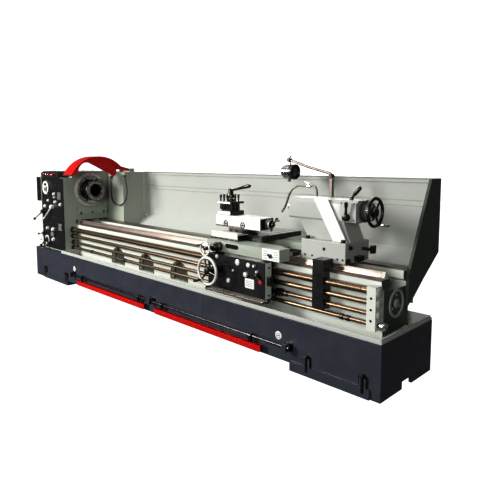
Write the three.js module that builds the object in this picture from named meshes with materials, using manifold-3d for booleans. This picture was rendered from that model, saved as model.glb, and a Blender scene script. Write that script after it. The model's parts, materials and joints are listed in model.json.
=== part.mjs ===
// A heavy engine lathe: 660 mm swing over the bed, 3000 mm between centres.
// Millimetres. +X runs along the bed from the headstock to the tailstock, the operator stands at -Y,
// +Z is up from the floor, and the spindle axis lies in the plane Y = 0.
import * as THREE from 'three';
import { mergeVertices } from 'three/addons/utils/BufferGeometryUtils.js';
import Module from 'manifold-3d';

const wasm = await Module();
wasm.setup();

// ---------------------------------------------------------------- driving dimensions

const GAP = 0.4;                     // clearance between neighbouring pieces
const SPINDLE_Z = 1020;              // height of the spindle axis over the floor
const BED = { left: -2200, right: 2180, wall: 157, flange: 180, wayTop: 685, flatTop: 672 };
const BASE = { half: 2300, front: -375, back: 255, top: 333, deck: 232, footIn: 825 };
const TRAY = { left: -1639, rim: 362, floor: 240, wall: 8 };
const HEAD = { left: -2200, right: -1650, front: -315, back: 215, bottom: 686, top: 1220 };
const SHOULDER = { z: 1160, back: -213 };   // lower front of the headstock, under the button hood
const GEARBOX_TOP = 685;
const COVER_LEFT = -2320;
const CABINET = { left: -2150, right: -1310, front: 225, back: 512, bottom: 364, top: 1222 };
const GUARD = { right: 2202, top: 1226, wall: 540, sheet: 5 };
const CHUCK_GUARD = { left: -1620, right: -1420, outer: 374, hinge: [400, 1244] };
const DIAL = [-2048, 1043];          // speed dial, in X and Z on the front panel
const STOP_BUTTON = [-1850, 1192];
const APRON_WHEEL = [926, 547];
const CROSS_WHEEL_Z = 697;
const PEDAL_AXIS = [-405, 153];
const LAMP = { x: 1105, y: 258, z: 1259, postX: 1506, postTop: 1212, armZ: 1350 };
const ROD_Y = -220;
const RODS = {
  lead: { z: 580, r: 22 },
  feed: { z: 510, r: 17 },
  control: { z: 442, r: 14 },
  stop: { z: 382, r: 14 },
};
const ROD_END = 2165;
const SADDLE = { left: 700, right: 1490, bottom: 686.4, top: 737 };
const APRON = { left: 815, right: 1400, front: -345, back: -188, bottom: 402, top: 656, plate: 65 };
const CROSS = { x: 850, bottom: 740, top: 783 };
const SWIVEL = { x: 870, y: -20, r: 118, top: 822 };
const SLIDE = { left: 627, right: 1119, half: 75, top: 914, screwZ: 868 };
const POST = { x: 722, half: 76, top: 1022 };
const TAIL = { left: 1545, right: 1900, half: 140, baseTop: 822, noseX: 1395, endX: 1944 };
const MODULE = 10;                   // gear module
const TEETH = { bull: 24, pinion: 12, spindleEnd: 16, idler: 36, leadScrew: 17 };
const INPUT = { y: 100, pulley: 85 };
const MOTOR = { y: 60, z: 165, pulley: 50, r: 118 };

// ---------------------------------------------------------------- solids

// A closed three.js geometry as a manifold solid, turned outwards if its faces point in.
function solid(geometry) {
  const bare = new THREE.BufferGeometry();
  bare.setAttribute('position', geometry.getAttribute('position').clone());
  if (geometry.index) bare.setIndex(geometry.index.clone());
  const merged = mergeVertices(bare, 1e-3);
  const p = merged.attributes.position;
  const index = merged.index.array;
  const triangles = [];
  let volume = 0;
  for (let i = 0; i < index.length; i += 3) {
    const [a, b, c] = [index[i], index[i + 1], index[i + 2]];
    if (a === b || b === c || a === c) continue;
    triangles.push(a, b, c);
    const [va, vb, vc] = [a, b, c].map((v) => new THREE.Vector3().fromBufferAttribute(p, v));
    volume += va.dot(vb.cross(vc));
  }
  if (volume < 0) triangles.reverse();
  return new wasm.Manifold(new wasm.Mesh({
    numProp: 3,
    vertProperties: Float32Array.from(p.array),
    triVerts: Uint32Array.from(triangles),
  }));
}

function geometryOf(manifold) {
  const mesh = manifold.getMesh();
  const geometry = new THREE.BufferGeometry();
  geometry.setAttribute('position', new THREE.BufferAttribute(mesh.vertProperties, 3));
  geometry.setIndex(new THREE.BufferAttribute(mesh.triVerts, 1));
  geometry.computeVertexNormals();
  return geometry;
}

const join = (first, ...rest) => rest.reduce((sum, next) => sum.add(next), first);
const cut = (first, ...rest) => rest.reduce((left, next) => left.subtract(next), first);

// A rectangular block between two corners.
function block(x0, x1, y0, y1, z0, z1) {
  const geometry = new THREE.BoxGeometry(x1 - x0, y1 - y0, z1 - z0);
  return solid(geometry.translate((x0 + x1) / 2, (y0 + y1) / 2, (z0 + z1) / 2));
}

// Turns geometry made along Y (round shapes) so that it lies along the named axis.
function lay(geometry, axis) {
  if (axis === 'x') geometry.rotateZ(-Math.PI / 2);
  if (axis === 'z') geometry.rotateX(Math.PI / 2);
  return geometry;
}

// A round bar along an axis; across holds its two other coordinates in x, y, z order.
function bar(axis, r, from, to, across, sides = 20) {
  const [a, b] = across;
  const middle = (from + to) / 2;
  const geometry = lay(new THREE.CylinderGeometry(r, r, to - from, sides), axis);
  const at = { x: [middle, a, b], y: [a, middle, b], z: [a, b, middle] }[axis];
  return solid(geometry.translate(...at));
}

// The space of a round hole whose flats clear a shaft of the given radius.
function bore(axis, r, from, to, across, sides = 20) {
  return bar(axis, (r + GAP) / Math.cos(Math.PI / sides), from, to, across, sides);
}

// A profile of [radius, position] pairs turned about an axis.
function turned(profile, axis, across, sides = 24) {
  const points = profile.map(([r, h]) => new THREE.Vector2(r, h));
  const geometry = lay(new THREE.LatheGeometry(points, sides), axis);
  const [a, b] = across;
  const at = { x: [0, a, b], y: [a, 0, b], z: [a, b, 0] }[axis];
  return solid(geometry.translate(...at));
}

// A ring of rectangular section around an axis.
function ring(axis, inner, outer, from, to, across, sides = 24) {
  const corners = [[inner, from], [outer, from], [outer, to], [inner, to], [inner, from]];
  return turned(corners, axis, across, sides);
}

// A flat outline pushed along an axis. Points are (y, z) for x, (x, z) for y and (x, y) for z.
function prism(axis, points, from, to) {
  const shape = points instanceof THREE.Shape
    ? points
    : new THREE.Shape(points.map(([a, b]) => new THREE.Vector2(a, b)));
  const options = { depth: to - from, bevelEnabled: false, curveSegments: 8 };
  const geometry = new THREE.ExtrudeGeometry(shape, options);
  if (axis === 'x') {
    geometry.applyMatrix4(new THREE.Matrix4().makeBasis(
      new THREE.Vector3(0, 1, 0), new THREE.Vector3(0, 0, 1), new THREE.Vector3(1, 0, 0)));
    geometry.translate(from, 0, 0);
  } else if (axis === 'y') {
    geometry.rotateX(Math.PI / 2).translate(0, to, 0);
  } else {
    geometry.translate(0, 0, from);
  }
  return solid(geometry);
}

// A round rod between any two points.
function strut(start, end, r, sides = 8) {
  const a = new THREE.Vector3(...start);
  const b = new THREE.Vector3(...end);
  const geometry = new THREE.CylinderGeometry(r, r, a.distanceTo(b), sides);
  const turn = new THREE.Quaternion().setFromUnitVectors(
    new THREE.Vector3(0, 1, 0), b.clone().sub(a).normalize());
  geometry.applyQuaternion(turn);
  const middle = a.add(b).multiplyScalar(0.5);
  return solid(geometry.translate(middle.x, middle.y, middle.z));
}

function ball(centre, r) {
  return solid(new THREE.SphereGeometry(r, 10, 6).translate(...centre));
}

// A round tube of solid section swept along a smooth curve.
function pipe(points, r, sides, steps) {
  const curve = new THREE.CatmullRomCurve3(points.map((p) => new THREE.Vector3(...p)));
  const section = new THREE.Shape(Array.from({ length: sides }, (_, i) => {
    const angle = (i / sides) * 2 * Math.PI;
    return new THREE.Vector2(r * Math.cos(angle), r * Math.sin(angle));
  }));
  return solid(new THREE.ExtrudeGeometry(section, { steps, extrudePath: curve }));
}

// A spur gear along X. Tooth number 0 points at angle phase in the Y-Z plane.
function gear(teeth, from, to, across, shaft, phase) {
  const pitch = (MODULE * teeth) / 2;
  const tip = pitch + 0.85 * MODULE;
  const root = pitch - 1.1 * MODULE;
  const step = (2 * Math.PI) / teeth;
  const points = [];
  for (let i = 0; i < teeth; i += 1) {
    const middle = phase + i * step;
    for (const [r, part] of [[root, -0.3], [tip, -0.12], [tip, 0.12], [root, 0.3]]) {
      const angle = middle + part * step;
      points.push([across[0] + r * Math.cos(angle), across[1] + r * Math.sin(angle)]);
    }
  }
  return cut(prism('x', points, from, to), bore('x', shaft, from - 1, to + 1, across));
}

// The phase that meshes a gear with one whose tooth 0 points along +Y, seen in a given direction.
function meshPhase(fixedTeeth, teeth, direction) {
  const step = (2 * Math.PI) / fixedTeeth;
  const past = ((direction % step) + step) % step;
  return direction + Math.PI + (past * fixedTeeth) / teeth + Math.PI / teeth;
}

// A spoked handwheel with a crank grip, turning about an axis along X or Y.
function handwheel(axis, radius, rim, at, hub, gripAngle, gripLength, side) {
  const [x, y, z] = at;
  const along = axis === 'x' ? x : y;
  const across = axis === 'x' ? [y, z] : [x, z];
  const torus = new THREE.TorusGeometry(radius, rim, 6, 24);
  if (axis === 'x') torus.rotateY(Math.PI / 2);
  else torus.rotateX(Math.PI / 2);
  const place = (r, angle, off) => {
    const a = across[0] + r * Math.cos(angle);
    const b = across[1] + r * Math.sin(angle);
    return axis === 'x' ? [along + off, a, b] : [a, along + off, b];
  };
  const spokes = [0, 1, 2].map((i) => strut(
    place(0, 0, 0), place(radius, gripAngle + (i * 2 * Math.PI) / 3, 0), rim * 0.7, 6));
  const grip = strut(place(radius, gripAngle, 0), place(radius, gripAngle, side * gripLength), rim * 0.8, 8);
  return join(
    solid(torus.translate(x, y, z)),
    bar(axis, hub, along - rim * 1.4, along + rim * 1.4, across, 12),
    ...spokes, grip);
}

// A lever: hub on the pivot, a rod, and a ball grip at its end.
function lever(axis, at, end, hub, r, knob) {
  const [x, y, z] = at;
  const along = { x, y, z }[axis];
  const across = { x: [y, z], y: [x, z], z: [x, y] }[axis];
  return join(
    bar(axis, hub, along - hub * 0.8, along + hub * 0.8, across, 14),
    strut(at, end, r), ball(end, knob));
}

// ---------------------------------------------------------------- paints

const paint = (color, roughness, metalness) => ({ color, roughness, metalness });
const GREEN = paint(0xb9beb2, 0.45, 0.1);
const NAVY = paint(0x2b2e38, 0.5, 0.1);
const BLACK = paint(0x141414, 0.5, 0.2);
const RED = paint(0xc80c08, 0.4, 0.1);
const STEEL = paint(0xb8b4ac, 0.3, 0.9);
const CHROME = paint(0xd8d8da, 0.12, 1.0);
const RUBBER = paint(0x0c0c0c, 0.85, 0.0);

const lathe = new THREE.Group();
const carriage = new THREE.Group();
const tailstock = new THREE.Group();
lathe.add(carriage, tailstock);

function add(name, body, colour, group = lathe) {
  const mesh = new THREE.Mesh(geometryOf(body), new THREE.MeshStandardMaterial(colour));
  mesh.name = name;
  group.add(mesh);
}

// ---------------------------------------------------------------- base, tray and bed

// Welded cabinet on two feet, open underneath, with a deck for the tray and a slot for the belt.
function makeBase() {
  const { half, front, back, top, deck, footIn } = BASE;
  const wall = 20;
  const footL = -half + footIn;
  const footR = half - footIn + 180;
  const shell = block(-half, half, front, back, 0, top);
  const hollow = (x0, x1, z1) => block(x0, x1, front + wall, back - wall, -1, z1);
  const pads = [[-2070, footL], [footR, 2235]].map(([x0, x1]) => block(x0, x1, front - 13, front + 5, 0, 60));
  const nuts = [-2040, -1510, 1790, 2190].map((x) => block(x - 22, x + 22, front - 12, front + 5, 55, 118));
  const lugs = [-1330, 120, 1640].map((x) => block(x - 16, x + 16, -428, front + 5, 128, 178));
  return cut(
    join(shell, ...pads, ...nuts, ...lugs),
    block(TRAY.left - 1, half - 8, front + 8, back - 8, deck, top + 1),
    block(footL, footR, front - 20, back + 1, -1, 45),
    hollow(-half + wall, footL - wall, top - 30),
    hollow(footL + wall, footR - wall, deck - 20),
    hollow(footR + wall, half - wall, deck - 20),
    block(-half - 1, -half + wall + 1, -125, -5, -1, 45),
    block(half - wall - 1, half + 1, -125, -5, -1, 45),
    block(-2262, -2204, -60, 190, top - 40, top + 1),
    bar('x', 12.5, -1400, 1700, PEDAL_AXIS, 20));
}

// Sunken chip tray with a stepped rim.
function makeTray() {
  const { left, rim, floor, wall } = TRAY;
  const right = BASE.half - 9;
  const front = BASE.front + 9;
  const back = BASE.back - 9;
  return cut(
    join(
      block(left, right, front, back, BASE.deck + GAP, BASE.top + 2),
      block(left, BASE.half - 1, BASE.front + 1, BASE.back - 1, BASE.top + GAP, rim - 12),
      block(left, BASE.half - 7, BASE.front + 7, BASE.back - 7, rim - 13, rim)),
    block(left + wall, right - wall, front + wall, back - wall, floor, rim + 1));
}

// Bed casting: two walls under a V way and a flat way, open between them, with three windows.
function makeBed() {
  const { left, right, wall, flange, wayTop, flatTop } = BED;
  const foot = TRAY.floor + GAP;
  const section = [
    [-175, foot], [175, foot], [175, foot + 32], [wall, foot + 44], [wall, 582], [flange, 598],
    [flange, flatTop], [88, flatTop], [88, 606], [124, 586], [124, foot + 44], [-124, foot + 44],
    [-124, 586], [-92, 606], [-92, 650], [-106, 650], [-124, wayTop], [-132, wayTop], [-150, 650],
    [-flange, 650], [-flange, 598], [-wall, 582], [-wall, foot + 44], [-175, foot + 32]];
  const window = (x) => {
    const shape = new THREE.Shape();
    shape.moveTo(x - 115, foot + 58);
    shape.lineTo(x + 115, foot + 58);
    shape.lineTo(x + 115, 350);
    shape.absarc(x, 350, 115, 0, Math.PI, false);
    return prism('y', shape, -wall - 1, -100);
  };
  return cut(
    prism('x', section, left, right),
    block(left - 1, TRAY.left, -200, 200, 0, BASE.top + GAP),
    block(TRAY.left - 1, TRAY.left + TRAY.wall + 1, -200, 200, 0, TRAY.rim + GAP),
    ...[-805, -300, 205].map(window));
}

// ---------------------------------------------------------------- headstock and gearbox

// The centre of a gear that meshes with two others, on the side given by the sign.
function meshingCentre([y0, z0], teeth0, [y1, z1], teeth1, teeth, side) {
  const apart = Math.hypot(y1 - y0, z1 - z0);
  const to0 = (MODULE * (teeth0 + teeth)) / 2;
  const to1 = (MODULE * (teeth1 + teeth)) / 2;
  const along = (apart ** 2 + to0 ** 2 - to1 ** 2) / (2 * apart);
  const off = side * Math.sqrt(to0 ** 2 - along ** 2);
  const [uy, uz] = [(y1 - y0) / apart, (z1 - z0) / apart];
  return [y0 + along * uy - off * uz, z0 + along * uz + off * uy];
}

const inputZ = SPINDLE_Z - Math.sqrt((MODULE * (TEETH.bull + TEETH.pinion) / 2) ** 2 - INPUT.y ** 2);
const spindleAxis = [0, SPINDLE_Z];
const inputAxis = [INPUT.y, inputZ];
const leadAxis = [ROD_Y, RODS.lead.z];
const idlerAxis = meshingCentre(spindleAxis, TEETH.spindleEnd, leadAxis, TEETH.leadScrew, TEETH.idler, 1);

function makeHeadstock() {
  const { left, right, front, back, bottom, top } = HEAD;
  return cut(
    join(
      block(left, right, front, back, bottom, SHOULDER.z),
      block(left, right, SHOULDER.back, back, SHOULDER.z - 1, top),
      block(right - 5, right + 24, -165, 190, 742, 828)),
    block(left + 40, right - 50, front + 20, back - 20, bottom + 20, SHOULDER.z - 20),
    block(left + 40, right - 50, SHOULDER.back + 20, back - 20, SHOULDER.z - 21, top + 1),
    bore('x', 100, right - 51, right + 30, spindleAxis, 28),
    bore('x', 62, left - 1, left + 41, spindleAxis),
    bore('x', 25, left - 1, left + 41, inputAxis),
    bore('x', 20, left - 1, left + 41, idlerAxis));
}

// Clearance holes for the four rods between two places along the bed.
const rodHoles = (from, to) => Object.values(RODS).map(({ z, r }) => bore('x', r, from, to, [ROD_Y, z], 16));

function makeGearbox() {
  const { left, right, front } = HEAD;
  const back = -BED.flange - 1;
  const holes = rodHoles(right - 16, right + 1);
  return cut(
    block(left, right, front, back, BASE.top + GAP, GEARBOX_TOP),
    block(left + 15, right - 15, front + 15, back + 1, BASE.top + 15, GEARBOX_TOP - 15),
    bore('x', RODS.lead.r, left - 1, left + 16, leadAxis, 16),
    ...holes);
}

// Hood for the push buttons, open underneath, with a hole for the stop button's stem.
function makeControlBox() {
  const outline = (d) => [
    [-330 + d, SHOULDER.z + GAP - d], [-330 + d, 1212], [-300 + d, 1230 - d],
    [-215 - d, 1230 - d], [-215 - d, SHOULDER.z + GAP - d]];
  return cut(
    prism('x', outline(0), -2190, -1740),
    prism('x', outline(4), -2186, -1744),
    bore('y', 8, -331, -320, STOP_BUTTON, 12));
}

function makeEndCover() {
  const { back, left } = HEAD;
  return cut(
    block(COVER_LEFT, left - 0.5, -330, back + 2, BASE.top + 13, SHOULDER.z + 6),
    block(COVER_LEFT + 8, left + 1, -322, back - 6, BASE.top, SHOULDER.z - 2));
}

function makeSpindle() {
  const profile = [
    [52, -2294], [62, -2294], [62, -2150], [70, -2150], [70, -1705], [75, -1705], [75, -1628],
    [161, -1628], [161, -1600], [118, -1600], [118, -1520], [113, -1515], [71, -1515], [52, -1560],
    [52, -2294]];
  return turned(profile, 'x', spindleAxis, 28);
}

function makeBelt() {
  const from = new THREE.Vector2(MOTOR.y, MOTOR.z);
  const to = new THREE.Vector2(INPUT.y, inputZ);
  const lean = Math.atan2(to.y - from.y, to.x - from.x);
  const wrap = Math.asin((INPUT.pulley - MOTOR.pulley) / from.distanceTo(to));
  const loop = (extra) => {
    const shape = new THREE.Shape();
    const start = lean + Math.PI / 2 + wrap;
    const end = lean - Math.PI / 2 - wrap;
    shape.absarc(from.x, from.y, MOTOR.pulley + extra, start, end + 2 * Math.PI, false);
    shape.absarc(to.x, to.y, INPUT.pulley + extra, end, start, false);
    return shape;
  };
  return cut(prism('x', loop(10), -2252, -2218), prism('x', loop(1), -2253, -2217));
}

function makeMotor() {
  const { y, z, r } = MOTOR;
  return cut(
    join(
      bar('x', r, -2185, -1790, [y, z], 28),
      block(-2140, -1840, y - 90, y + 90, z + 60, BASE.top - 30 - GAP),
      bar('x', 95, -1790.5, -1750, [y, z], 24)),
    bore('x', 19, -2186, -2120, [y, z], 16));
}

// Sheet-metal arch over the chuck with a side wall that deepens to the rear, on a barrel between two lugs.
function makeChuckGuard() {
  const centre = [5, 1025];
  const { left, right, outer, hinge } = CHUCK_GUARD;
  const [hingeY, hingeZ] = hinge;
  const [start, end] = [0.25 * Math.PI, 0.85 * Math.PI];
  const lowerEdge = [
    [-254, 1200], [-242, 1259], [-208, 1306], [-176, 1326], [-130, 1328], [167, 1179], [202, 1194],
    [209, 1250], [272, 1252]];
  const outline = (closeInside) => {
    const shape = new THREE.Shape();
    shape.absarc(centre[0], centre[1], outer, start, end, false);
    closeInside(shape);
    shape.lineTo(hingeY - 8, hingeZ - 12);
    shape.lineTo(hingeY, hingeZ + 10);
    return shape;
  };
  const skin = outline((shape) => shape.absarc(centre[0], centre[1], outer - 8, end, start, true));
  const side = outline((shape) => lowerEdge.forEach(([y, z]) => shape.lineTo(y, z)));
  return join(
    prism('x', skin, left, right),
    prism('x', side, right - 8, right),
    bar('x', 14, left - 4, right + 4, hinge, 14),
    bar('x', 8, left - 20, right + 20, hinge, 12));
}

function makeCabinet() {
  const { left, right, front, back, bottom, top } = CABINET;
  const lug = (x) => block(x - 9, x + 9, 372, 428, top - 2, 1262);
  return cut(
    join(
      block(left, right, front, back, bottom, top),
      lug(-1635), lug(-1405),
      block(-1562, -1518, 192, front + 2, 1172, top),
      block(-1330, -1224, 192, front + 2, 1190, top)),
    block(left + 10, right - 10, front + 10, back + 1, bottom + 10, top - 10),
    bore('x', 8, -1660, -1390, CHUCK_GUARD.hinge, 14));
}

// ---------------------------------------------------------------- guard and rods

function makeSplashGuard() {
  const { wall, top, sheet } = GUARD;
  const section = [
    [wall, top], [wall, 722], [198, 463], [198, 432], [198 - sheet, 432], [198 - sheet, 466],
    [wall - sheet, 725], [wall - sheet, top - sheet], [wall - 25, top - sheet], [wall - 25, top]];
  return prism('x', section, CABINET.right + GAP, GUARD.right - 6 - GAP);
}

function makeEndPanel() {
  const { wall, top, right } = GUARD;
  const outline = [[400, top], [wall, top], [wall, 722], [116, 430], [120, 634]];
  const strip = [[400, top], [120, 634], [126, 634], [406, top]];
  const cross = [[116, 430], [120, 634], [126, 634], [122, 434]];
  return join(
    prism('x', outline, right - 6, right),
    prism('x', strip, right - 20, right - 5),
    prism('x', cross, right - 20, right - 5));
}

function makeEndBracket() {
  return cut(
    join(
      block(2125, 2185, -252, -BED.wall - GAP, 350, 581),
      block(2125, 2185, -252, -BED.flange - GAP, 580, 612)),
    ...rodHoles(2115, 2195));
}

function makeRodSupport() {
  return cut(
    join(
      block(1727, 1813, -252, -BED.flange - GAP, 402, 660),
      block(1727, 1813, -252, -152, 650.5, 720)),
    ...rodHoles(1717, 1823));
}

// Foot brake: two kick plates hung from one long bar.
function makeBrakePedal() {
  const hangers = [-1100, -60, 290, 1320].map((x) => block(x - 14, x + 14, -411, -399, 84, 156));
  return join(
    bar('x', 11.5, -1350, 1662, PEDAL_AXIS, 16),
    block(-1195, 37, -417, -407, 62, 112),
    block(192, 1422, -417, -407, 62, 112),
    ...hangers);
}

// ---------------------------------------------------------------- carriage

function makeSaddle() {
  const { left, right, bottom, top } = SADDLE;
  return join(
    block(left, left + 300, -255, 290, bottom, top),
    block(left, 1360, -255, -95, bottom, top),
    block(left + 60, 1290, -255, -186, APRON.top + GAP, bottom + 1),
    block(1325, 1487, -295, -190, 665, 750),
    block(1290, 1400, -255, -186, 665, bottom + 1),
    block(left, right, 95, 215, bottom, top),
    block(1360, right + 30, 200, 290, 700, top),
    bar('y', 30, -262, -250, [CROSS.x, 700], 20));
}

function makeApron() {
  const { left, right, front, back, bottom, top, plate } = APRON;
  const through = ['lead', 'feed', 'control'].map((name) => bore(
    'x', RODS[name].r, left - 1, right + 1, [ROD_Y, RODS[name].z], 16));
  return cut(
    join(
      block(left, right - plate, front, back, bottom, top),
      block(right - plate - 1, right, front, front + plate, bottom, top),
      block(left, right, front, front + 8, 376, bottom + 1),
      block(left - 3, right + 3, -372, front + 8, 376, 390),
      bar('y', 34, front - 40, front + 1, APRON_WHEEL, 16)),
    block(left + 15, right - plate - 15, front + 10, back + 1, bottom + 15, top + 1),
    bore('y', 12, front - 41, front + 11, APRON_WHEEL, 12),
    ...through);
}

function makeApronWheel() {
  const [x, z] = APRON_WHEEL;
  return join(
    handwheel('y', 98, 10, [x, -450, z], 24, -2.3, 78, -1),
    bar('y', 12, -450, APRON.front + 40, APRON_WHEEL, 12));
}

function makeCrossWheel() {
  const { x } = CROSS;
  return join(
    handwheel('y', 50, 6, [x, -405, CROSS_WHEEL_Z], 14, 2.6, 50, -1),
    bar('y', 8, -405, -262.5, [x, CROSS_WHEEL_Z], 12));
}

function makeCrossSlide() {
  const { bottom, top } = CROSS;
  return join(
    block(680, 980, -195, -95, bottom, top),
    block(680, 980, -195, -142, bottom, top + 15),
    block(680, 1130, -100, 380, bottom, top));
}

function makeTopSlide() {
  const { left, right, half, top, screwZ } = SLIDE;
  const y = SWIVEL.y;
  return cut(
    join(
      block(left, right, y - half, y + half, SWIVEL.top + GAP, top),
      bar('x', 36, right - 1, right + 46, [y, screwZ], 20),
      bar('z', 18, top - 1, 1046, [POST.x, y], 14)),
    bore('x', 8.5, right - 40, right + 47, [y, screwZ], 12));
}

function makeCompoundHandle() {
  const x = SLIDE.right + 62;
  const y = SWIVEL.y;
  const z = SLIDE.screwZ;
  const angle = 0.9;
  const arm = (r, sign) => [x + 8, y + sign * r * Math.cos(angle), z + sign * r * Math.sin(angle)];
  return join(
    bar('x', 8.5, SLIDE.right - 35, x, [y, z], 12),
    ball([x, y, z], 17),
    strut([x, y, z], arm(52, 1), 6, 8), ball(arm(52, 1), 12),
    strut([x, y, z], arm(44, -1), 5, 8), ball(arm(44, -1), 9));
}

// Four-way toolpost: two square plates on a core, with eight clamp screws through the top one.
function makeToolpost() {
  const { x, half, top } = POST;
  const y = SWIVEL.y;
  const core = half - 24;
  const screws = [];
  for (const [dx, dy] of [[-1, 0], [1, 0], [0, -1], [0, 1]]) {
    for (const along of [-30, 30]) {
      const reach = half - 13;
      const at = [x + dx * reach + Math.abs(dy) * along, y + dy * reach + Math.abs(dx) * along];
      screws.push(bar('z', 6, 990, 1076, at, 4));
    }
  }
  return cut(
    join(
      block(x - half, x + half, y - half, y + half, SLIDE.top + GAP, 948),
      block(x - core, x + core, y - core, y + core, 940, top - 10),
      block(x - half, x + half, y - half, y + half, top - 18, top),
      ...screws),
    bore('z', 18, SLIDE.top, top + 1, [x, y], 14));
}

function makeToolpostLever() {
  const y = SWIVEL.y;
  const start = [POST.x, y, 1106];
  const end = [POST.x + 236, y - 16, 1154];
  const middle = [POST.x + 118, y - 8, 1130];
  return join(
    turned([[0, 1047], [32, 1047], [32, 1062], [24, 1082], [20, 1118], [0, 1124]], 'z', [POST.x, y], 20),
    strut(start, end, 8, 10),
    strut(middle, end, 13, 10));
}

function makeLampHead() {
  const { x, y, z } = LAMP;
  return join(
    turned([[0, x - 62], [40, x - 58], [53, x - 46], [55, x + 26], [60, x + 28], [60, x + 62], [52, x + 66],
      [46, x + 50], [0, x + 46]], 'x', [y, z], 24),
    bar('z', 9, z + 50, LAMP.armZ - 20, [x, y], 12),
    bar('z', 12, z - 78, z - 50, [x, y], 12));
}

function makeLampArm() {
  const { x, y, postX, armZ } = LAMP;
  return join(
    block(postX - 16, postX + 16, y - 16, y + 16, LAMP.postTop + GAP, LAMP.postTop + 36),
    strut([postX - 8, y, LAMP.postTop + 26], [x, y, armZ], 10, 12),
    ball([x, y, armZ], 17));
}

// ---------------------------------------------------------------- tailstock

function makeTailBody() {
  const { noseX, endX, baseTop, left, right } = TAIL;
  const bottom = baseTop + GAP;
  const housing = new THREE.Shape([
    [-95, 962], [-83, 950], [83, 950], [95, 962], [95, 1066], [70, 1092], [-70, 1092], [-95, 1066],
  ].map(([a, b]) => new THREE.Vector2(a, b)));
  const column = [[1476, 952], [left, 846], [left, bottom], [right, bottom], [right - 12, 846], [1842, 952]];
  const rib = [[1625, 1088], [1740, 1088], [1890, bottom], [1780, bottom]];
  return cut(
    join(
      prism('x', housing, noseX, endX),
      prism('y', column, -82, 82),
      prism('y', rib, -108, 90),
      bar('x', 58, endX - 1, endX + 40, [0, SPINDLE_Z], 24)),
    bore('x', 40, noseX - 1, 1860, spindleAxis),
    bore('x', 15, 1850, endX + 41, spindleAxis, 14));
}

function makeQuill() {
  const taper = turned([[0, 1300], [24, 1300], [18, 1450], [0, 1450]], 'x', spindleAxis, 16);
  return cut(
    bar('x', 40, 1340, 1700, spindleAxis),
    taper,
    bore('x', 15, 1550, 1701, spindleAxis, 14));
}

function makeTailWheel() {
  return join(
    handwheel('x', 88, 11, [2022, 0, SPINDLE_Z], 30, -1.15, 84, 1),
    bar('x', 15, 1560, 2022, spindleAxis, 12));
}

// ---------------------------------------------------------------- assembly

add('base', makeBase(), NAVY);
add('chip_tray', makeTray(), GREEN);
add('bed', makeBed(), GREEN);
add('headstock', makeHeadstock(), GREEN);
add('headstock_cover', block(
  HEAD.left, HEAD.right, SHOULDER.back, HEAD.back, HEAD.top + GAP, HEAD.top + 12), GREEN);
add('gearbox', makeGearbox(), GREEN);
add('front_panel', block(HEAD.left, HEAD.right, HEAD.front - 9, HEAD.front - GAP, 345, 1158), BLACK);
add('control_box', makeControlBox(), BLACK);
add('stop_button', join(
  bar('y', 18, -352, -340, STOP_BUTTON, 20),
  bar('y', 8, -341, -322, STOP_BUTTON, 16)), RED);
add('spindle_flange', ring('x', 79, 190, HEAD.right + GAP, HEAD.right + 20, spindleAxis, 32), GREEN);
add('front_bearing', ring('x', 76.5, 100, HEAD.right - 49, HEAD.right - GAP, spindleAxis, 28), STEEL);
add('end_cover', makeEndCover(), GREEN);
add('spindle', makeSpindle(), CHROME);

const toward = (from, to) => Math.atan2(to[1] - from[1], to[0] - from[0]);
const pinionPhase = meshPhase(TEETH.bull, TEETH.pinion, toward(spindleAxis, inputAxis));
const endPhase = meshPhase(TEETH.idler, TEETH.spindleEnd, toward(idlerAxis, spindleAxis));
const leadPhase = meshPhase(TEETH.idler, TEETH.leadScrew, toward(idlerAxis, leadAxis));
add('bull_gear', gear(TEETH.bull, -1880, -1840, spindleAxis, 70, 0), STEEL);
add('input_shaft', join(
  gear(TEETH.pinion, -1885, -1835, inputAxis, 20, pinionPhase),
  bar('x', 25, -2258, -1720, inputAxis, 20),
  bar('x', INPUT.pulley, -2252, -2218, inputAxis, 32)), STEEL);
add('change_gear_a', gear(TEETH.spindleEnd, -2292, -2268, spindleAxis, 62, endPhase), STEEL);
add('change_gear_b', join(
  gear(TEETH.idler, -2292, -2268, idlerAxis, 15, 0),
  bar('x', 20, -2296, -2165, idlerAxis, 20)), STEEL);
add('change_gear_c', gear(TEETH.leadScrew, -2292, -2268, leadAxis, RODS.lead.r, leadPhase), STEEL);
add('motor', makeMotor(), NAVY);
add('motor_pulley', join(
  bar('x', MOTOR.pulley, -2252, -2218, [MOTOR.y, MOTOR.z], 28),
  bar('x', 19, -2256, -2125, [MOTOR.y, MOTOR.z], 16)), STEEL);
add('drive_belt', makeBelt(), RUBBER);

add('chuck_guard', makeChuckGuard(), RED);
add('guard_cable', pipe([
  [-1540, 208, 1171], [-1540, 208, 1130], [-1542, 208, 1060], [-1544, 208, 985], [-1532, 208, 915],
  [-1496, 208, 873], [-1440, 208, 852], [-1376, 208, 846], [-1314, 208, 861], [-1258, 208, 893],
  [-1220, 208, 935], [-1204, 208, 990], [-1205, 208, 1050], [-1218, 208, 1110], [-1236, 208, 1155],
  [-1240, 208, 1188.6]],
6, 8, 34), RUBBER);
add('cabinet', makeCabinet(), GREEN);
add('cabinet_door', block(CABINET.left, CABINET.right, CABINET.back + GAP, CABINET.back + 9, CABINET.bottom,
  CABINET.top), GREEN);
add('splash_guard', makeSplashGuard(), GREEN);
add('end_panel', makeEndPanel(), GREEN);

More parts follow.
